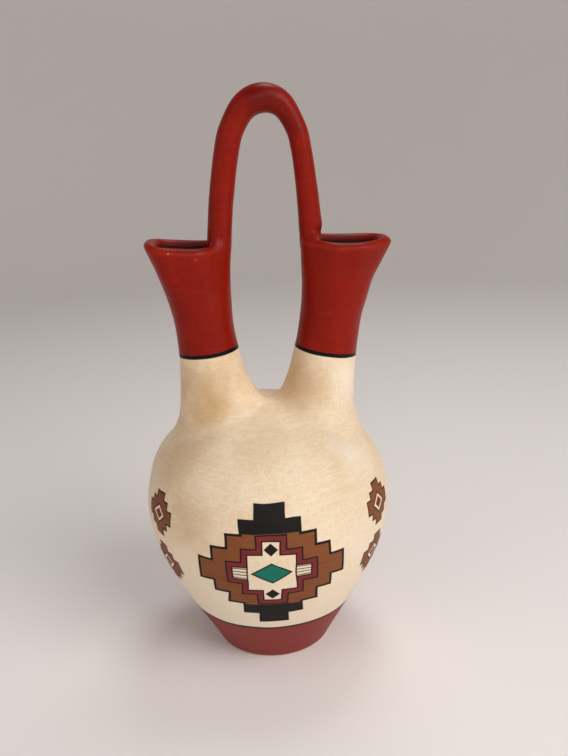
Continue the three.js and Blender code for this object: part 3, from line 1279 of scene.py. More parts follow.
@dataclass
class Spout:
    """A red spout with its rounded lip and the foot of the handle that stands on it."""

    shape: VaseShape
    side: Side

    # Grid of its skin: its reach from the axis, half its depth and its room beyond each cut
    cell: float = 0.0007
    box_near: float = 0.006
    box_far: float = 0.068
    box_deep: float = 0.026
    margin: float = 0.006
    lip_room: float = 0.004

    # Shares of the wall between which the inside's colour sets in
    hollow_start: float = 0.4
    hollow_end: float = 0.8

    # Where the painted shade on the top of the lip ends, towards the leg and outwards in shares of half the
    # width
    lip_shade_end: float = 0.5
    lip_shade_reach: float = 0.5

    # Depth and reach of the ridge, lighter partly where rubbed and partly as a painted highlight, in shares
    # of the lip's round
    ridge_depth: float = 0.25
    ridge_reach: float = 0.7

    def build(self, material: bpy.types.Material) -> bpy.types.Object:
        """Draws the spout from its black line up.

        Args:
            material: its finish.

        Returns:
            The piece.
        """
        shape, side = self.shape, self.side
        line = next(line for line in shape.neck_lines if line.side is side)
        seam, rise = shape.leg_foot(side)
        near, far = sorted((side * self.box_near, side * self.box_far))
        low = (near, -self.box_deep, line.height - 2.0 * self.margin)
        high = (far, self.box_deep, seam.z + self.margin)
        skin = ClaySkin(lambda points: shape.spout_clay(side, points), self.cell)
        clay = ClayMesh(*skin.draw(low, high))
        clay.trim(line.point(), -line.normal(), lambda place: place.z < line.height + 2.0 * self.margin)
        clay.trim(seam, rise, lambda place: place.z > shape.lip_height + self.lip_room)
        nodes = [f"{side.word}_{part}" for part in ("spout_lower", "spout_upper", "lip", "handle_luting")]
        mesh = clay.to_mesh(f"{side.word}_spout")
        self.mark(mesh)
        return add_piece(mesh, material, nodes)

    def mark(self, mesh: bpy.types.Mesh) -> None:
        """Marks the inside of the mouth and the top of the lip, which carry painted shade, and its ridge,
        lighter partly as wear and partly as a painted highlight.

        Args:
            mesh: the spout's mesh.
        """
        shape, side = self.shape, self.side
        points = mesh_points(mesh)
        height, outside = shape.spout_place(side, points)
        inner = smooth_step(-outside / shape.spout_wall, self.hollow_start, self.hollow_end)
        under = 1.0 - smooth_step(height, shape.lip_height - shape.lip_fade, shape.lip_height)
        mark_points(mesh, HOLLOW, inner * under)
        ridge = shape.lip_height - shape.lip_round
        over = 1.0 - smooth_step(height, shape.lip_height, shape.lip_height + shape.lip_round)
        top = smooth_step(height, ridge, shape.lip_height) * over
        middle, half_width = shape.track(side).values[-1, :2]
        aside = side * (points[:, 0] - shape.lean_at(points[:, 2])) - middle
        away = 1.0 - smooth_step(shape.legward(side, points), 0.0, self.lip_shade_end)
        away = away * (1.0 - smooth_step(aside, 0.0, self.lip_shade_reach * half_width))
        mark_points(mesh, LIP, top * away * (1.0 - inner * under))
        near = np.hypot(height - ridge, outside + self.ridge_depth * shape.lip_round)
        mark_points(mesh, RIDGE, 1.0 - smooth_step(near, 0.0, self.ridge_reach * shape.lip_round))


@dataclass
class Handle:
    """The arched handle, a rolled bar between the feet on the two lips."""

    shape: VaseShape
    along: int = 220
    around: int = 48
    focus: float = 24.0
    uneven: float = 0.0004

    def build(self, material: bpy.types.Material) -> bpy.types.Object:
        """Rolls the handle.

        Args:
            material: its finish.

        Returns:
            The piece.
        """
        shape = self.shape
        legs = np.array(shape.leg_stations)
        left = np.stack([-legs[:, 1], legs[:, 0]], axis=1)
        right = legs[:-1, ::-1][::-1]
        right[-1, 0] += shape.right_foot_shift
        arch = np.vstack([left, right])
        x = arch[:, 0] + shape.handle_lean_at(arch[:, 1])
        line = np.stack([x, np.zeros(len(x)), arch[:, 1]], axis=1)
        values = {
            "Facets Along": self.along,
            "Facets Around": self.around,
            "Start Thickness": shape.handle_left,
            "Middle Thickness": shape.handle_crown,
            "End Thickness": shape.handle_right,
            "End Flare": shape.handle_flare,
            "Middle Focus": self.focus,
            "Unevenness": self.uneven,
            "Even Below": shape.leg_stations[0][0],
            "Material": material,
        }
        mesh = crisp_caps(RolledForm().run(line.tolist(), values))
        mesh.name = "handle_roll"
        return add_piece(mesh, material, ["handle"])


class SocketKind(Enum):
    """What a group's socket carries."""

    VALUE = "NodeSocketFloat"
    PLACE = "NodeSocketVector"
    COLOUR = "NodeSocketColor"


class ShaderGroup(NodeSketch):
    """A shader node group with named sockets, built once and placed in each material that uses it."""

    def __init__(self, name: str) -> None:
        """Makes the empty group.

        Args:
            name: its name.
        """
        super().__init__(bpy.data.node_groups.new(name, "ShaderNodeTree"))
        self.source = self.tree.nodes.new("NodeGroupInput")
        self.target = self.tree.nodes.new("NodeGroupOutput")

    def take(self, name: str, kind: SocketKind = SocketKind.VALUE) -> Socket:
        """Adds a named input and gives its socket inside the group."""
        self.tree.interface.new_socket(name, in_out="INPUT", socket_type=kind.value)
        return self.source.outputs[name]

    def give(self, name: str, value: Socket, kind: SocketKind = SocketKind.VALUE) -> None:
        """Adds a named output and feeds it."""
        self.tree.interface.new_socket(name, in_out="OUTPUT", socket_type=kind.value)
        self.tree.links.new(value, self.target.inputs[name])

    def place(self, sketch: NodeSketch, values: Inputs) -> bpy.types.Node:
        """Places the group in a material with its own values."""
        return sketch.node("ShaderNodeGroup", values, node_tree=self.tree)


class SlipClouds(ShaderGroup):
    """Cloudy patches where the slip lies thick or thin, with smaller patches and a grain in them.

    Attributes:
        SQUAT: how much wider than high a patch is.
        SMALLER: how much smaller the small patches are.
        FINER: how much finer the grain is.
        WEIGHTS: how much the patches, the small ones and the grain count.
        SHOWS: the sums between which a patch sets in.
    """

    SQUAT = 1.5
    SMALLER = 5.0
    FINER = 40.0
    WEIGHTS = (0.55, 0.3, 0.15)
    SHOWS = (0.36, 0.66)

    def __init__(self) -> None:
        """Builds the group."""
        super().__init__("slip_clouds")
        place = self.take("Position", SocketKind.PLACE)
        scale = self.math("DIVIDE", 1.0, self.take("Cloud Size"))
        flat = self.stretch(place, 1.0, 1.0, self.SQUAT)
        broad = self.noise(flat, scale, detail=3.0)
        small = self.noise(flat, self.math("MULTIPLY", scale, self.SMALLER), detail=4.0)
        grain = self.noise(place, self.math("MULTIPLY", scale, self.FINER))
        total: Value = 0.0
        for layer, weight in zip((broad, small, grain), self.WEIGHTS):
            total = self.math("MULTIPLY_ADD", layer, weight, total)
        self.give("Clouds", self.ramp(total, *self.SHOWS))


class PolishStrokes(ShaderGroup):
    """Fine strokes that the polishing stone leaves, mostly level, some aslant.

    Attributes:
        SLANT: how far the slanting strokes are turned, in radians.
        LEVEL_SHOWS: the values between which a level stroke sets in.
        ASLANT_SHOWS: the values between which a slanting stroke sets in.
    """

    SLANT = 0.6
    LEVEL_SHOWS = (0.48, 0.72)
    ASLANT_SHOWS = (0.54, 0.8)

    def __init__(self) -> None:
        """Builds the group."""
        super().__init__("polish_strokes")
        place = self.take("Position", SocketKind.PLACE)
        along = self.math("DIVIDE", 1.0, self.take("Stroke Length"))
        across = self.math("DIVIDE", 1.0, self.take("Stroke Width"))
        inputs = {"Vector": place, "Angle": self.SLANT}
        turned = self.node("ShaderNodeVectorRotate", inputs, rotation_type="Y_AXIS").outputs[0]
        shown = []
        for lie, shows in ((place, self.LEVEL_SHOWS), (turned, self.ASLANT_SHOWS)):
            strokes = self.noise(self.stretch(lie, along, along, across), 1.0, detail=3.0)
            shown.append(self.ramp(strokes, *shows))
        self.give("Strokes", self.math("MAXIMUM", *shown))


class BrushGrain(ShaderGroup):
    """Fine crossed marks that the brush leaves in the slip.

    Attributes:
        SHOWS: the sums of level and upright marks between which the grain sets in.
    """

    SHOWS = (0.8, 1.25)

    def __init__(self) -> None:
        """Builds the group."""
        super().__init__("brush_grain")
        place = self.take("Position", SocketKind.PLACE)
        along = self.math("DIVIDE", 1.0, self.take("Mark Length"))
        across = self.math("DIVIDE", 1.0, self.take("Mark Width"))
        level = self.noise(self.stretch(place, along, along, across), 1.0)
        upright = self.noise(self.stretch(place, across, across, along), 1.0)
        self.give("Grain", self.ramp(self.math("ADD", level, upright), *self.SHOWS))


class Pits(ShaderGroup):
    """Tiny pits left by grit and air in the clay, few and far between."""

    def __init__(self) -> None:
        """Builds the group."""
        super().__init__("pits")
        place = self.take("Position", SocketKind.PLACE)
        spacing = self.take("Spacing")
        size = self.take("Pit Size")
        share = self.take("Share")
        scale = self.math("DIVIDE", 1.0, spacing)
        cells = self.node("ShaderNodeTexVoronoi", {"Vector": place, "Scale": scale})
        draw = self.split(cells.outputs["Color"])[0]
        chosen = self.math("LESS_THAN", draw, share)
        gap = self.math("MULTIPLY", cells.outputs["Distance"], spacing)
        inner = self.math("MULTIPLY", size, 0.5)
        hole = self.math("SUBTRACT", 1.0, self.ramp(gap, inner, size))
        self.give("Pits", self.math("MULTIPLY", hole, chosen))


class BlackLines(ShaderGroup):
    """The brushed black lines round both necks and above the base.

    Attributes:
        SOFT: width of a line's soft edge.
        NECK_RISE: how far above its seam a neck line runs.
        HAND_SCALE: how often the hand shakes, in a metre.
        HAND_REACH: how far it shakes.
    """

    SOFT = 0.00016
    NECK_RISE = 0.0004
    HAND_SCALE = 90.0
    HAND_REACH = 0.0005

    def __init__(self, shape: VaseShape) -> None:
        """Builds the group.

        Args:
            shape: the vase, whose colour seams the lines follow.
        """
        super().__init__("black_lines")
        place = self.take("Position", SocketKind.PLACE)
        neck_width = self.take("Neck Line Width")
        base_width = self.take("Base Line Width")
        x, _, z = self.split(place)
        hand = self.math("SUBTRACT", self.noise(place, self.HAND_SCALE), 0.5)
        left, right = (self.plane_gap(place, line) for line in shape.neck_lines)
        on_right = self.math("GREATER_THAN", x, shape.lean_at(np.array(shape.neck_lines[0].height)))
        apart = self.math("SUBTRACT", right, left)
        neck = self.math("MULTIPLY_ADD", on_right, apart, left)
        base = self.math("SUBTRACT", z, shape.band_height)
        lines = [self.line(gap, hand, width) for gap, width in ((neck, neck_width), (base, base_width))]
        self.give("Lines", self.math("MAXIMUM", *lines))

    def plane_gap(self, place: Socket, line: NeckLine) -> Socket:
        """How far a place lies above a neck line.

        Args:
            place: the place.
            line: the line's seam.

        Returns:
            The distance, below zero under the line.
        """
        normal = line.normal()
        inputs = {0: place, 1: normal}
        along = self.node("ShaderNodeVectorMath", inputs, operation="DOT_PRODUCT").outputs["Value"]
        return self.math("SUBTRACT", along, normal.dot(line.point()) + self.NECK_RISE)

    def line(self, gap: Socket, hand: Socket, width: Socket) -> Socket:
        """A line along the zero of a distance, which wanders as the hand does.

        Args:
            gap: the distance.
            hand: how the hand moves, about zero.
            width: the line's width.

        Returns:
            1 on the line.
        """
        uneven = self.math("MULTIPLY_ADD", hand, self.HAND_REACH, gap)
        half = self.math("MULTIPLY", width, 0.5)
        over = self.math("SUBTRACT", self.math("ABSOLUTE", uneven), half)
        return self.below(over, 0.0, self.SOFT)


class SaddleCreaseShade(ShaderGroup):
    """Painted shade: a faint dark bowed line where smoothing the saddle between the necks leaves a crease.

    Attributes:
        MIDDLE: x and y of its middle.
        BOW: how strongly it is bowed.
        REACH: how far it goes from its middle.
        WIDTH: its width.
        SOFT: width of its soft edge.
        DEPTH: how far below the saddle it may lie.
    """

    MIDDLE = (0.0018, -0.0019)
    BOW = 120.0
    REACH = 0.0065
    WIDTH = 0.0006
    SOFT = 0.0009
    DEPTH = 0.006

    def __init__(self, shape: VaseShape) -> None:
        """Builds the group.

        Args:
            shape: the vase, whose saddle carries the crease.
        """
        super().__init__("saddle_crease_shade")
        x, y, z = self.split(self.take("Position", SocketKind.PLACE))
        along = self.math("SUBTRACT", x, self.MIDDLE[0])
        square = self.math("MULTIPLY", along, along)
        bow = self.math("MULTIPLY_ADD", square, self.BOW, self.MIDDLE[1])
        gap = self.math("ABSOLUTE", self.math("SUBTRACT", y, bow))
        line = self.below(gap, self.WIDTH / 2.0, self.SOFT)
        ends = self.ramp(self.math("ABSOLUTE", along), self.REACH, self.REACH / 2.0)
        upper = self.math("GREATER_THAN", z, shape.saddle_height - self.DEPTH)
        self.give("Crease", self.math("MULTIPLY", line, self.math("MULTIPLY", ends, upper)))


class Paint(Enum):
    """The colours of the painted band."""

    BLACK = srgb(14, 9, 9)
    RUST = srgb(128, 73, 38)
    RED = srgb(120, 38, 38)
    GREEN = srgb(10, 112, 94)


class PaintedSteps(ShaderGroup):
    """Terraced lozenges round the belly: three large ones, and small pairs between them."""

    SOFT = 0.00022
    LINE = 0.00075
    STREAKS = (160.0, 160.0, 900.0)
    STREAK_SHARE = 0.5
    SHAKE_SCALE = 70.0
    SHAKE_REACH = 0.0016
    REPEATS = 3
    LARGE_MIDDLE = 0.0655
    LARGE_SIZE = (0.036, 0.034)
    LARGE_STEPS = 5
    TERRACE = 0.0204
    BORDER = 0.0013
    BAND_START = 0.0074
    BAND_END = 0.0102
    HATCH_START = 0.0114
    HATCH_SPACING = 0.0017
    HATCH_HALF = LINE / 3.0
    HEART_SIZE = (0.0092, 0.0056)
    SEED_SIZE = (0.0034, 0.0032)
    SEED_RISE = 0.0128
    SMALL_MIDDLE = 0.0715
    SMALL_SIZE = (0.0108, 0.0105)
    SMALL_STEPS = 3
    SMALL_RISE = 0.0134
    EYE_SIZE = (0.0056, 0.0048)

    def __init__(self) -> None:
        """Builds the group."""
        super().__init__("painted_steps")
        place = self.take("Position", SocketKind.PLACE)
        shaken = self.shake(place)
        streaks = self.math("SUBTRACT", self.noise(self.stretch(place, *self.STREAKS), 1.0), 0.5)
        self.body = self.math("MULTIPLY_ADD", streaks, self.STREAK_SHARE, 1.0)
        x, y, self.height = self.split(shaken)
        self.radius = self.math("SQRT", self.math("MULTIPLY_ADD", x, x, self.math("MULTIPLY", y, y)))
        self.turn = self.math("ARCTAN2", x, self.math("MULTIPLY", y, -1.0))
        self.colour: Colour | Socket = Paint.BLACK.value
        self.cover: Socket = self.math("MULTIPLY", self.height, 0.0)
        self.paint_large()
        self.paint_small()
        self.give("Colour", self.colour, SocketKind.COLOUR)
        self.give("Cover", self.cover)

    def shake(self, place: Socket) -> Socket:
        """A place moved a little, as a hand moves a brush.

        Args:
            place: the place.

        Returns:
            The moved place.
        """
        inputs = {"Vector": place, "Scale": self.SHAKE_SCALE, "Detail": 1.0}
        wander = self.node("ShaderNodeTexNoise", inputs).outputs["Color"]
        inputs = {0: wander, 1: (0.5, 0.5, 0.5)}
        centred = self.node("ShaderNodeVectorMath", inputs, operation="SUBTRACT").outputs[0]
        inputs = {0: centred, 1: (self.SHAKE_REACH,) * 3, 2: place}
        return self.node("ShaderNodeVectorMath", inputs, operation="MULTIPLY_ADD").outputs[0]

    def across(self, shift: float) -> Socket:
        """How far a place lies to the side of the nearest motif, along the wall.

        Args:
            shift: how far the row of motifs is turned, in shares of a repeat.

        Returns:
            The distance, always positive.
        """
        step = math.tau / self.REPEATS
        count = self.math("MULTIPLY_ADD", self.turn, 1.0 / step, shift)
        offset = self.math("SUBTRACT", count, self.math("ROUND", count))
        return self.math("MULTIPLY", self.math("MULTIPLY", self.math("ABSOLUTE", offset), step), self.radius)

    def steps(self, across: Socket, up: Socket, size: tuple[float, float], count: int) -> Socket:
        """The distance outside a lozenge with stepped sides.

        Args:
            across: distance to the side of its middle.
            up: distance above or below its middle.
            size: half its width and half its height.
            count: steps on each side.

        Returns:
            The distance, below zero inside.
        """
        gap: Socket | None = None
        for step in range(count):
            aside = self.math("SUBTRACT", across, size[0] * (count - step) / count)
            above = self.math("SUBTRACT", up, size[1] * (step + 1) / count)
            block = self.math("MAXIMUM", aside, above)
            gap = block if gap is None else self.math("MINIMUM", gap, block)
        return gap

    def lozenge(self, across: Socket, up: Socket, size: tuple[float, float]) -> Socket:
        """The distance outside a plain lozenge.

        Args:
            across: distance to the side of its middle.
            up: distance above or below its middle.
            size: half its width and half its height.

        Returns:
            The distance, below zero inside.
        """
        wide, tall = size
        scale = wide * tall / math.hypot(wide, tall)
        edge = self.math("MULTIPLY_ADD", up, scale / tall, -scale)
        return self.math("MULTIPLY_ADD", across, scale / wide, edge)

    def within(self, gap: Socket, limit: float = 0.0) -> Socket:
        """A painted area: all that lies below a limit."""
        return self.below(gap, limit, self.SOFT)

    def stroke(self, gap: Socket, middle: float, width: float) -> Socket:
        """A painted line along a level of a distance."""
        offset = self.math("ABSOLUTE", self.math("SUBTRACT", gap, middle))
        return self.below(offset, width / 2.0, self.SOFT)

    def both(self, first: Socket, second: Socket) -> Socket:
        """What two areas share."""
        return self.math("MULTIPLY", first, second)

    def outside(self, area: Socket) -> Socket:
        """What an area leaves."""
        return self.math("SUBTRACT", 1.0, area)

    def lay(self, paint: Paint, area: Socket) -> None:
        """Lays a colour over an area, a little uneven as brushed paint is.

        Args:
            paint: the colour.
            area: 1 where it goes.
        """
        scale = self.node("ShaderNodeVectorMath", {0: paint.value, "Scale": self.body}, operation="SCALE")
        self.colour = self.blend(area, self.colour, scale.outputs[0])
        self.cover = self.math("MAXIMUM", self.cover, area)

    def reserve(self, area: Socket) -> None:
        """Leaves an area bare, so that the slip shows."""
        self.cover = self.both(self.cover, self.outside(area))

    def paint_large(self) -> None:
        """Paints the large lozenges, dark at top and bottom, with a bare field and a green heart."""
        across = self.across(0.0)
        up = self.math("ABSOLUTE", self.math("SUBTRACT", self.height, self.LARGE_MIDDLE))
        gap = self.steps(across, up, self.LARGE_SIZE, self.LARGE_STEPS)
        self.lay(Paint.BLACK, self.within(gap))
        self.lay(Paint.RUST, self.both(self.within(gap, -self.BORDER), self.within(up, self.TERRACE)))
        middle = (self.BAND_START + self.BAND_END) / 2.0
        self.lay(Paint.RED, self.stroke(gap, -middle, self.BAND_END - self.BAND_START))
        field_area = self.within(gap, -self.BAND_END)
        self.reserve(field_area)
        for level in (self.BAND_START, self.BAND_END):
            self.lay(Paint.BLACK, self.stroke(gap, -level, self.LINE))
        sides = self.both(field_area, self.outside(self.within(across, self.HATCH_START)))
        self.lay(Paint.BLACK, self.both(sides, self.hatch(up)))
        self.lay(Paint.BLACK, self.both(field_area, self.stroke(across, self.HATCH_START, self.LINE)))
        heart = self.lozenge(across, up, self.HEART_SIZE)
        self.lay(Paint.GREEN, self.within(heart))
        self.lay(Paint.BLACK, self.stroke(heart, 0.0, self.LINE))
        rise = self.math("ABSOLUTE", self.math("SUBTRACT", up, self.SEED_RISE))
        self.lay(Paint.BLACK, self.within(self.lozenge(across, rise, self.SEED_SIZE)))

    def hatch(self, up: Socket) -> Socket:
        """Fine level lines.

        Args:
            up: distance above or below the middle of the motif.

        Returns:
            1 on the lines.
        """
        saw = self.math("FRACT", self.math("DIVIDE", up, self.HATCH_SPACING))
        offset = self.math("ABSOLUTE", self.math("SUBTRACT", saw, 0.5))
        gap = self.math("MULTIPLY", offset, self.HATCH_SPACING)
        return self.below(gap, self.HATCH_HALF, self.SOFT)

    def paint_small(self) -> None:
        """Paints the small pairs, rust with a bare eye."""
        across = self.across(0.5)
        middle = self.math("ABSOLUTE", self.math("SUBTRACT", self.height, self.SMALL_MIDDLE))
        up = self.math("ABSOLUTE", self.math("SUBTRACT", middle, self.SMALL_RISE))
        gap = self.steps(across, up, self.SMALL_SIZE, self.SMALL_STEPS)
        self.lay(Paint.RUST, self.within(gap))
        self.lay(Paint.BLACK, self.stroke(gap, 0.0, self.LINE))
        eye = self.lozenge(across, up, self.EYE_SIZE)
        self.reserve(self.within(eye))
        self.lay(Paint.BLACK, self.stroke(eye, 0.0, self.LINE))
        self.lay(Paint.RED, self.within(eye, -2.0 * self.LINE))


class Effects:
    """The shader groups that the finishes share."""

    def __init__(self, shape: VaseShape) -> None:
        """Builds every group once.

        Args:
            shape: the vase that they are laid on.
        """
        self.clouds = SlipClouds()
        self.strokes = PolishStrokes()
        self.grain = BrushGrain()
        self.pits = Pits()
        self.lines = BlackLines(shape)
        self.crease = SaddleCreaseShade(shape)
        self.steps = PaintedSteps()


@dataclass(frozen=True)
class Stain:
    """A patch, chip or hole in a coat, or a patch of painted light or shade.

    Attributes:
        place: its middle.
        reach: how far it goes.
        colour: what shows there.
        share: how strongly it shows.
        soft: how much of its reach fades.
    """

    place: Triple
    reach: float
    colour: Colour
    share: float = 1.0
    soft: float = 1.0


class Coat(NodeSketch):
    """A material being mixed, with its colour and its roughness so far.

    Attributes:
        RAGGED: notches in the edge of a patch, across its reach.
    """

    RAGGED = 2.0

    def __init__(self, name: str, colour: Colour, matt: float) -> None:
        """Starts with a plain coat.

        Args:
            name: the material's name.
            colour: its plain colour.
            matt: its plain roughness.
        """
        self.material = bpy.data.materials.new(name)
        self.material.use_nodes = True
        super().__init__(self.material.node_tree)
        self.shader = self.tree.nodes["Principled BSDF"]
        self.place = self.node("ShaderNodeTexCoord").outputs["Object"]
        self.colour: Colour | Socket = colour
        self.matt: Value = matt

    def effect(self, group: ShaderGroup, values: Inputs | None = None) -> bpy.types.Node:
        """Places a shared group on the surface with its own values."""
        return group.place(self, {"Position": self.place, **(values or {})})

    def mask(self, group: ShaderGroup, values: Inputs | None = None) -> Socket:
        """The one output of a shared group."""
        return self.effect(group, values).outputs[0]

    def mark(self, name: str) -> Socket:
        """The values that a mesh keeps for its points."""
        return self.node("ShaderNodeAttribute", attribute_name=name).outputs["Fac"]

    def lay(self, area: Socket, colour: Colour | Socket, share: float = 1.0) -> None:
        """Lays a colour over an area, as strongly as a share says."""
        self.colour = self.blend(self.math("MULTIPLY", area, share), self.colour, colour)

    def dull(self, area: Socket, amount: float) -> None:
        """Makes an area more matt."""
        self.matt = self.math("MULTIPLY_ADD", area, amount, self.matt)

    def stain(self, stain: Stain) -> None:
        """Lays a stain, chip or hole, or a patch of painted light or shade, with a ragged edge.

        Args:
            stain: the patch.
        """
        inputs = {0: self.place, 1: stain.place}
        gap = self.node("ShaderNodeVectorMath", inputs, operation="DISTANCE").outputs["Value"]
        rough = self.math("SUBTRACT", self.noise(self.place, self.RAGGED / stain.reach, detail=3.0), 0.5)
        ragged = self.math("MULTIPLY_ADD", rough, stain.reach, gap)
        fade = self.ramp(ragged, stain.reach * (1.0 - stain.soft), stain.reach)
        self.lay(self.math("SUBTRACT", 1.0, fade), stain.colour, stain.share)

    def finish(self) -> bpy.types.Material:
        """Feeds the colour and the roughness to the shader.

        Returns:
            The material.
        """
        self.put(self.shader.inputs["Base Color"], self.colour)
        self.put(self.shader.inputs["Roughness"], self.matt)
        return self.material


@dataclass(frozen=True)
class SlipFinish:
    """A coat of slip polished with a stone.

    Attributes:
        name: the material's name.
        coat: its main colour.
        cloud: the colour of its cloudy patches.
        stroke: the colour of the polishing strokes.
        hollow: the colour inside the pot; in the red slip it is painted shade, near black inside the mouths.
        worn: the colour where the coat is rubbed; on the ridge of the red lips it is lighter partly as wear
            and partly as a painted highlight.
        cloud_size: width of a patch.
        cloud_share: how strongly the patches show.
        stroke_share: how strongly the strokes show.
        grain_share: how strongly the brush marks show.
        roughness: how matt it is.
        shine: how strongly it mirrors.
        stains_and_light: single patches, chips and holes, and patches of painted light and shade.
        bare_foot: whether the clay is bare under the foot.
        painted: whether it carries the painted band.
    """

    name: str
    coat: Colour
    cloud: Colour
    stroke: Colour
    hollow: Colour
    worn: Colour
    cloud_size: float
    cloud_share: float
    stroke_share: float
    grain_share: float
    roughness: float
    shine: float
    stains_and_light: tuple[Stain, ...] = ()
    bare_foot: bool = False
    painted: bool = False

    # Clouds, brush marks and polishing strokes
    cloud_low: float = 0.05
    cloud_high: float = 0.11
    low_share: float = 0.4
    mark_length: float = 0.004
    mark_width: float = 0.0009
    stroke_length: float = 0.018
    stroke_width: float = 0.0009
    stroke_dull: float = 0.08

    # Pits and relief
    pit_spacing: float = 0.006
    pit_size: float = 0.00028
    pit_share: float = 0.25
    pit_shade: float = 0.5
    pit_depth: float = 6.0
    relief: float = 0.00005
    relief_share: float = 0.6

    # Wear, lines and paint
    ridge_wear_and_sheen_share: float = 0.7
    lip_shade_share: float = 0.8
    crease_share: float = 0.6
    neck_line: float = 0.0019
    base_line: float = 0.0014
    paint_dull: float = 0.2

    # Inside and foot
    bare_dull: float = 0.3
    foot_rise: float = 0.0009
    foot_soft: float = 0.0006

    def build(self, effects: Effects) -> bpy.types.Material:
        """Makes the material.

        Args:
            effects: the shared groups.

        Returns:
            The material.
        """
        coat = Coat(self.name, self.coat, self.roughness)
        strokes = self.brush(coat, effects)
        for stain in self.stains_and_light:
            coat.stain(stain)
        sizes = {"Spacing": self.pit_spacing, "Pit Size": self.pit_size, "Share": self.pit_share}
        pits = coat.mask(effects.pits, sizes)
        # painted shade: the pits are darkened, as small holes look dark
        coat.lay(pits, Paint.BLACK.value, self.pit_shade)
        # the ridge of the lips: partly wear, partly a painted highlight
        coat.lay(coat.mark(RIDGE), self.worn, self.ridge_wear_and_sheen_share)
        # painted shade: the up-facing top of the red lips gets less light and is painted darker and browner
        coat.lay(coat.mark(LIP), LIP_SHADE, self.lip_shade_share)
        self.paint(coat, effects)
        # the inside of the pot, with painted shade inside the red mouths, and the bare foot
        self.bare(coat)
        coat.shader.inputs["Specular IOR Level"].default_value = self.shine
        rise = coat.math("MULTIPLY_ADD", pits, -self.pit_depth, strokes)
        values = {"Height": rise, "Distance": self.relief, "Strength": self.relief_share}
        coat.put(coat.shader.inputs["Normal"], coat.node("ShaderNodeBump", values).outputs[0])
        return coat.finish()

    def brush(self, coat: Coat, effects: Effects) -> Socket:
        """Brushes the slip on, with fainter clouds and marks low on the pot, and polishes it.

        Args:
            coat: the coat.
            effects: the shared groups.

        Returns:
            Where the polishing strokes are.
        """
        clouds = coat.mask(effects.clouds, {"Cloud Size": self.cloud_size})
        grain = coat.mask(effects.grain, {"Mark Length": self.mark_length, "Mark Width": self.mark_width})
        upper = coat.ramp(coat.split(coat.place)[2], self.cloud_low, self.cloud_high)
        thick = coat.math("MULTIPLY_ADD", upper, 1.0 - self.low_share, self.low_share)
        for layer, share in ((clouds, self.cloud_share), (grain, self.grain_share)):
            coat.lay(coat.math("MULTIPLY", layer, thick), self.cloud, share)
        sizes = {"Stroke Length": self.stroke_length, "Stroke Width": self.stroke_width}
        strokes = coat.mask(effects.strokes, sizes)
        coat.lay(strokes, self.stroke, self.stroke_share)
        coat.dull(strokes, self.stroke_dull)
        return strokes

    def paint(self, coat: Coat, effects: Effects) -> None:
        """Adds the painted shade of the saddle's crease and the painted band, where they belong, and the
        black lines.

        Args:
            coat: the coat.
            effects: the shared groups.
        """
        if self.painted:
            # painted shade along the crease of the saddle
            coat.lay(coat.mask(effects.crease), CREASE_SHADE, self.crease_share)
            steps = coat.effect(effects.steps)
            coat.lay(steps.outputs["Cover"], steps.outputs["Colour"])
            coat.dull(steps.outputs["Cover"], self.paint_dull)
        widths = {"Neck Line Width": self.neck_line, "Base Line Width": self.base_line}
        coat.lay(coat.mask(effects.lines, widths), Paint.BLACK.value)

    def bare(self, coat: Coat) -> None:
        """Colours the inside of the pot, with painted shade inside the red mouths and bare clay in the body,
        and the bare clay under the foot.

        Args:
            coat: the coat.
        """
        areas = [(coat.mark(HOLLOW), self.hollow)]
        if self.bare_foot:
            under = coat.below(coat.split(coat.place)[2], self.foot_rise, self.foot_soft)
            areas.append((under, self.worn))
        for area, colour in areas:
            coat.lay(area, colour)
            coat.dull(area, self.bare_dull)


BARE_CLAY = srgb(186, 138, 100)
TAN = srgb(190, 148, 96)
PALE = srgb(242, 231, 214)
CHIP = srgb(205, 140, 105)
# painted shade on the top of the red lips
LIP_SHADE = srgb(96, 34, 22)
# darker red: smoke on the handle, and painted shade
SMOKE_AND_SHADE = srgb(92, 10, 3)
# painted shade of the saddle's crease
CREASE_SHADE = srgb(112, 82, 62)

RED_SLIP = SlipFinish(
    name="red_slip",
    coat=srgb(139, 22, 5),
    cloud=srgb(116, 15, 4),
    stroke=srgb(152, 34, 14),
    # painted shade: the inside of the mouths is painted near black, as little light gets in
    hollow=srgb(40, 5, 4),
    # partly wear, partly a painted highlight along the lips' ridge
    worn=srgb(165, 52, 32),
    cloud_size=0.03,
    cloud_share=0.6,
    stroke_share=0.22,
    grain_share=0.35,
    roughness=0.33,
    shine=0.13,
    stains_and_light=(
        Stain((-0.0407, -0.0160, 0.2068), 0.0006, CHIP, 0.8, soft=0.5),
        Stain((-0.0284, -0.0156, 0.2034), 0.0009, srgb(176, 62, 46), 0.6, soft=0.5),
        # painted shade: a pit in the right lip, painted black
        Stain((0.0204, -0.0022, 0.2136), 0.0010, Paint.BLACK.value, soft=0.4),
        # smoke and painted shade: the crown and the right shoulder of the arch are painted darker red
        Stain((0.0050, -0.0060, 0.2730), 0.015, SMOKE_AND_SHADE, 0.8),
        Stain((0.0160, -0.0060, 0.2620), 0.012, SMOKE_AND_SHADE, 0.6),
    ),
)
BASE_SLIP = SlipFinish(
    name="base_slip",
    coat=srgb(136, 46, 37),
    cloud=srgb(122, 39, 31),
    stroke=srgb(148, 56, 47),
    hollow=BARE_CLAY,
    worn=BARE_CLAY,
    cloud_size=0.03,
    cloud_share=0.5,
    stroke_share=0.3,
    grain_share=0.35,
    roughness=0.46,
    shine=0.25,
    bare_foot=True,
)
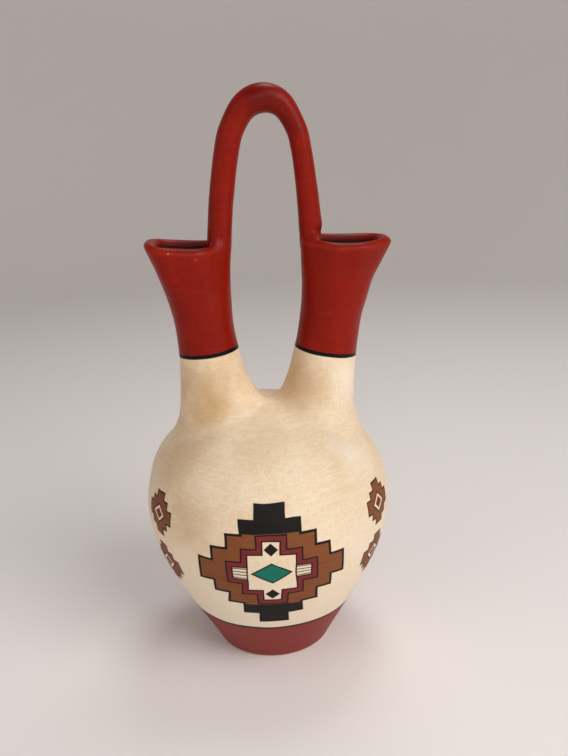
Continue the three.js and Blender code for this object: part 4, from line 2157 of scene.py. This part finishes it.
CREAM_SLIP = SlipFinish(
    name="cream_slip",
    coat=srgb(238, 219, 190),
    cloud=srgb(218, 182, 136),
    stroke=srgb(242, 227, 202),
    hollow=BARE_CLAY,
    worn=BARE_CLAY,
    cloud_size=0.06,
    cloud_share=0.55,
    stroke_share=0.35,
    grain_share=0.4,
    roughness=0.42,
    shine=0.25,
    stains_and_light=(
        Stain((0.0, 0.0, 0.026), 0.1, PALE, 0.8),
        # painted highlight: the right of the right neck and the right shoulder, which face the key lamp, are
        # painted paler
        Stain((0.046, -0.012, 0.142), 0.020, PALE, 0.6),
        Stain((0.042, -0.030, 0.110), 0.022, PALE, 0.5),
        # painted shade: the left shoulder and the left of the left neck, away from the key lamp, are painted
        # tan
        Stain((-0.042, -0.028, 0.112), 0.026, TAN, 0.35),
        Stain((-0.040, -0.008, 0.142), 0.016, TAN, 0.3),
        Stain((-0.0253, -0.0174, 0.138), 0.020, TAN, 0.7),
        Stain((-0.0283, -0.0195, 0.128), 0.014, TAN, 0.4),
        Stain((0.0140, -0.0085, 0.1422), 0.020, TAN, 0.55),
        Stain((0.0246, -0.0168, 0.1386), 0.016, TAN, 0.35),
        Stain((-0.0367, -0.0488, 0.0875), 0.018, TAN, 0.35),
        Stain((-0.0005, -0.036, 0.1216), 0.022, TAN, 0.25),
    ),
    painted=True,
)


@dataclass(frozen=True)
class Lamp:
    """A soft square lamp.

    Attributes:
        name: its name.
        place: where it hangs.
        aim: height on the vase's axis that it looks at.
        size: edge of its face.
        power: its power in watts.
    """

    name: str
    place: Triple
    aim: float
    size: float
    power: float

    def hang(self) -> None:
        """Puts the lamp into the scene."""
        lamp = bpy.data.lights.new(self.name, "AREA")
        lamp.energy = self.power
        lamp.size = self.size
        holder = bpy.data.objects.new(self.name, lamp)
        holder.location = self.place
        ahead = Vector((0.0, 0.0, self.aim)) - Vector(self.place)
        holder.rotation_euler = ahead.to_track_quat("-Z", "Y").to_euler()
        bpy.context.scene.collection.objects.link(holder)


@dataclass
class Studio:
    """The floor, the lamps and the camera."""

    # Camera: lens and sensor in millimetres, place, and angles in degrees
    lens: float = 40.63
    sensor: float = 36.0
    near: float = 0.01
    place: Triple = (0.0, -0.40666, 0.26414)
    pitch: float = 16.94
    yaw: float = 1.464
    roll: float = 2.239

    # Floor, the bend at its edge and the backdrop
    floor_reach: float = 1.8
    floor_bend: float = 0.8
    floor_rise: float = 1.2
    floor_facets: int = 128
    bend_steps: int = 16
    floor_light: Colour = srgb(246, 239, 235)
    floor_shade: Colour = srgb(243, 235, 231)
    floor_clouds: float = 2.0
    floor_matt: float = 0.7

    # Light from all round, and the lamps
    world_light: float = 0.15
    lamps: tuple[Lamp, ...] = (
        Lamp("key", (0.75, -0.72, 0.88), aim=0.12, size=0.9, power=10.8),
        Lamp("fill", (-0.9, -0.7, 0.7), aim=0.12, size=0.9, power=1.8),
        Lamp("front", (-0.05, -1.0, 0.62), aim=0.18, size=0.3, power=1.4),
        Lamp("top", (0.12, 0.30, 0.95), aim=0.18, size=0.3, power=2.0),
    )

    def build(self) -> None:
        """Sets up the whole stage."""
        self.add_floor()
        for lamp in self.lamps:
            lamp.hang()
        self.add_world()
        self.add_camera()
        bpy.context.scene.view_settings.view_transform = "Standard"

    def add_floor(self) -> None:
        """Adds a plain pale floor that rises into a backdrop all round."""
        flat = self.floor_reach - self.floor_bend
        line = [(0.0, 0.0, 0.0)]
        for angle in np.linspace(0.0, math.pi / 2.0, self.bend_steps):
            rise = self.floor_bend * (1.0 - math.cos(angle))
            line.append((flat + self.floor_bend * math.sin(angle), 0.0, rise))
        line.append((self.floor_reach, 0.0, self.floor_rise))
        coat = Coat("pale_floor", self.floor_shade, self.floor_matt)
        coat.lay(coat.noise(coat.place, self.floor_clouds), self.floor_light)
        values = {"Facets Around": self.floor_facets, "Weld Distance": WELD, "Material": coat.finish()}
        mesh = TurnedForm().run(line, values)
        mesh.name = "floor"
        floor = bpy.data.objects.new("floor", mesh)
        bpy.context.scene.collection.objects.link(floor)

    def add_world(self) -> None:
        """Adds the even light from all round."""
        world = bpy.data.worlds.new("studio")
        world.use_nodes = True
        background = world.node_tree.nodes["Background"]
        background.inputs["Color"].default_value = (1.0, 1.0, 1.0, 1.0)
        background.inputs["Strength"].default_value = self.world_light
        bpy.context.scene.world = world

    def add_camera(self) -> None:
        """Adds the camera at the photograph's view."""
        pitch, yaw, roll = (math.radians(angle) for angle in (self.pitch, self.yaw, self.roll))
        ahead = Vector((math.sin(yaw) * math.cos(pitch), math.cos(yaw) * math.cos(pitch), -math.sin(pitch)))
        level = Vector((math.cos(yaw), -math.sin(yaw), 0.0))
        upright = level.cross(ahead)
        right = level * math.cos(roll) - upright * math.sin(roll)
        up = level * math.sin(roll) + upright * math.cos(roll)
        turned = Matrix((right, up, -ahead)).transposed().to_4x4()
        camera = bpy.data.cameras.new("camera")
        camera.lens = self.lens
        camera.sensor_width = self.sensor
        camera.clip_start = self.near
        holder = bpy.data.objects.new("camera", camera)
        holder.matrix_world = Matrix.Translation(self.place) @ turned
        bpy.context.scene.collection.objects.link(holder)
        bpy.context.scene.camera = holder


def main() -> None:
    """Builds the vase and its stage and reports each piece."""
    logging.basicConfig(level=logging.INFO, format="%(message)s")
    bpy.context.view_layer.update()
    shape = VaseShape()
    effects = Effects(shape)
    red = RED_SLIP.build(effects)
    jar = Jar(shape)
    pieces = [jar.build_base(BASE_SLIP.build(effects)), jar.build_body(CREAM_SLIP.build(effects))]
    pieces += [Spout(shape, side).build(red) for side in Side]
    pieces.append(Handle(shape).build(red))
    for piece in pieces:
        log.info("%s: %d faces, %s", piece.name, len(piece.data.polygons), piece.active_material.name)
    Studio().build()
    bpy.context.view_layer.update()


if __name__ == "__main__":
    main()
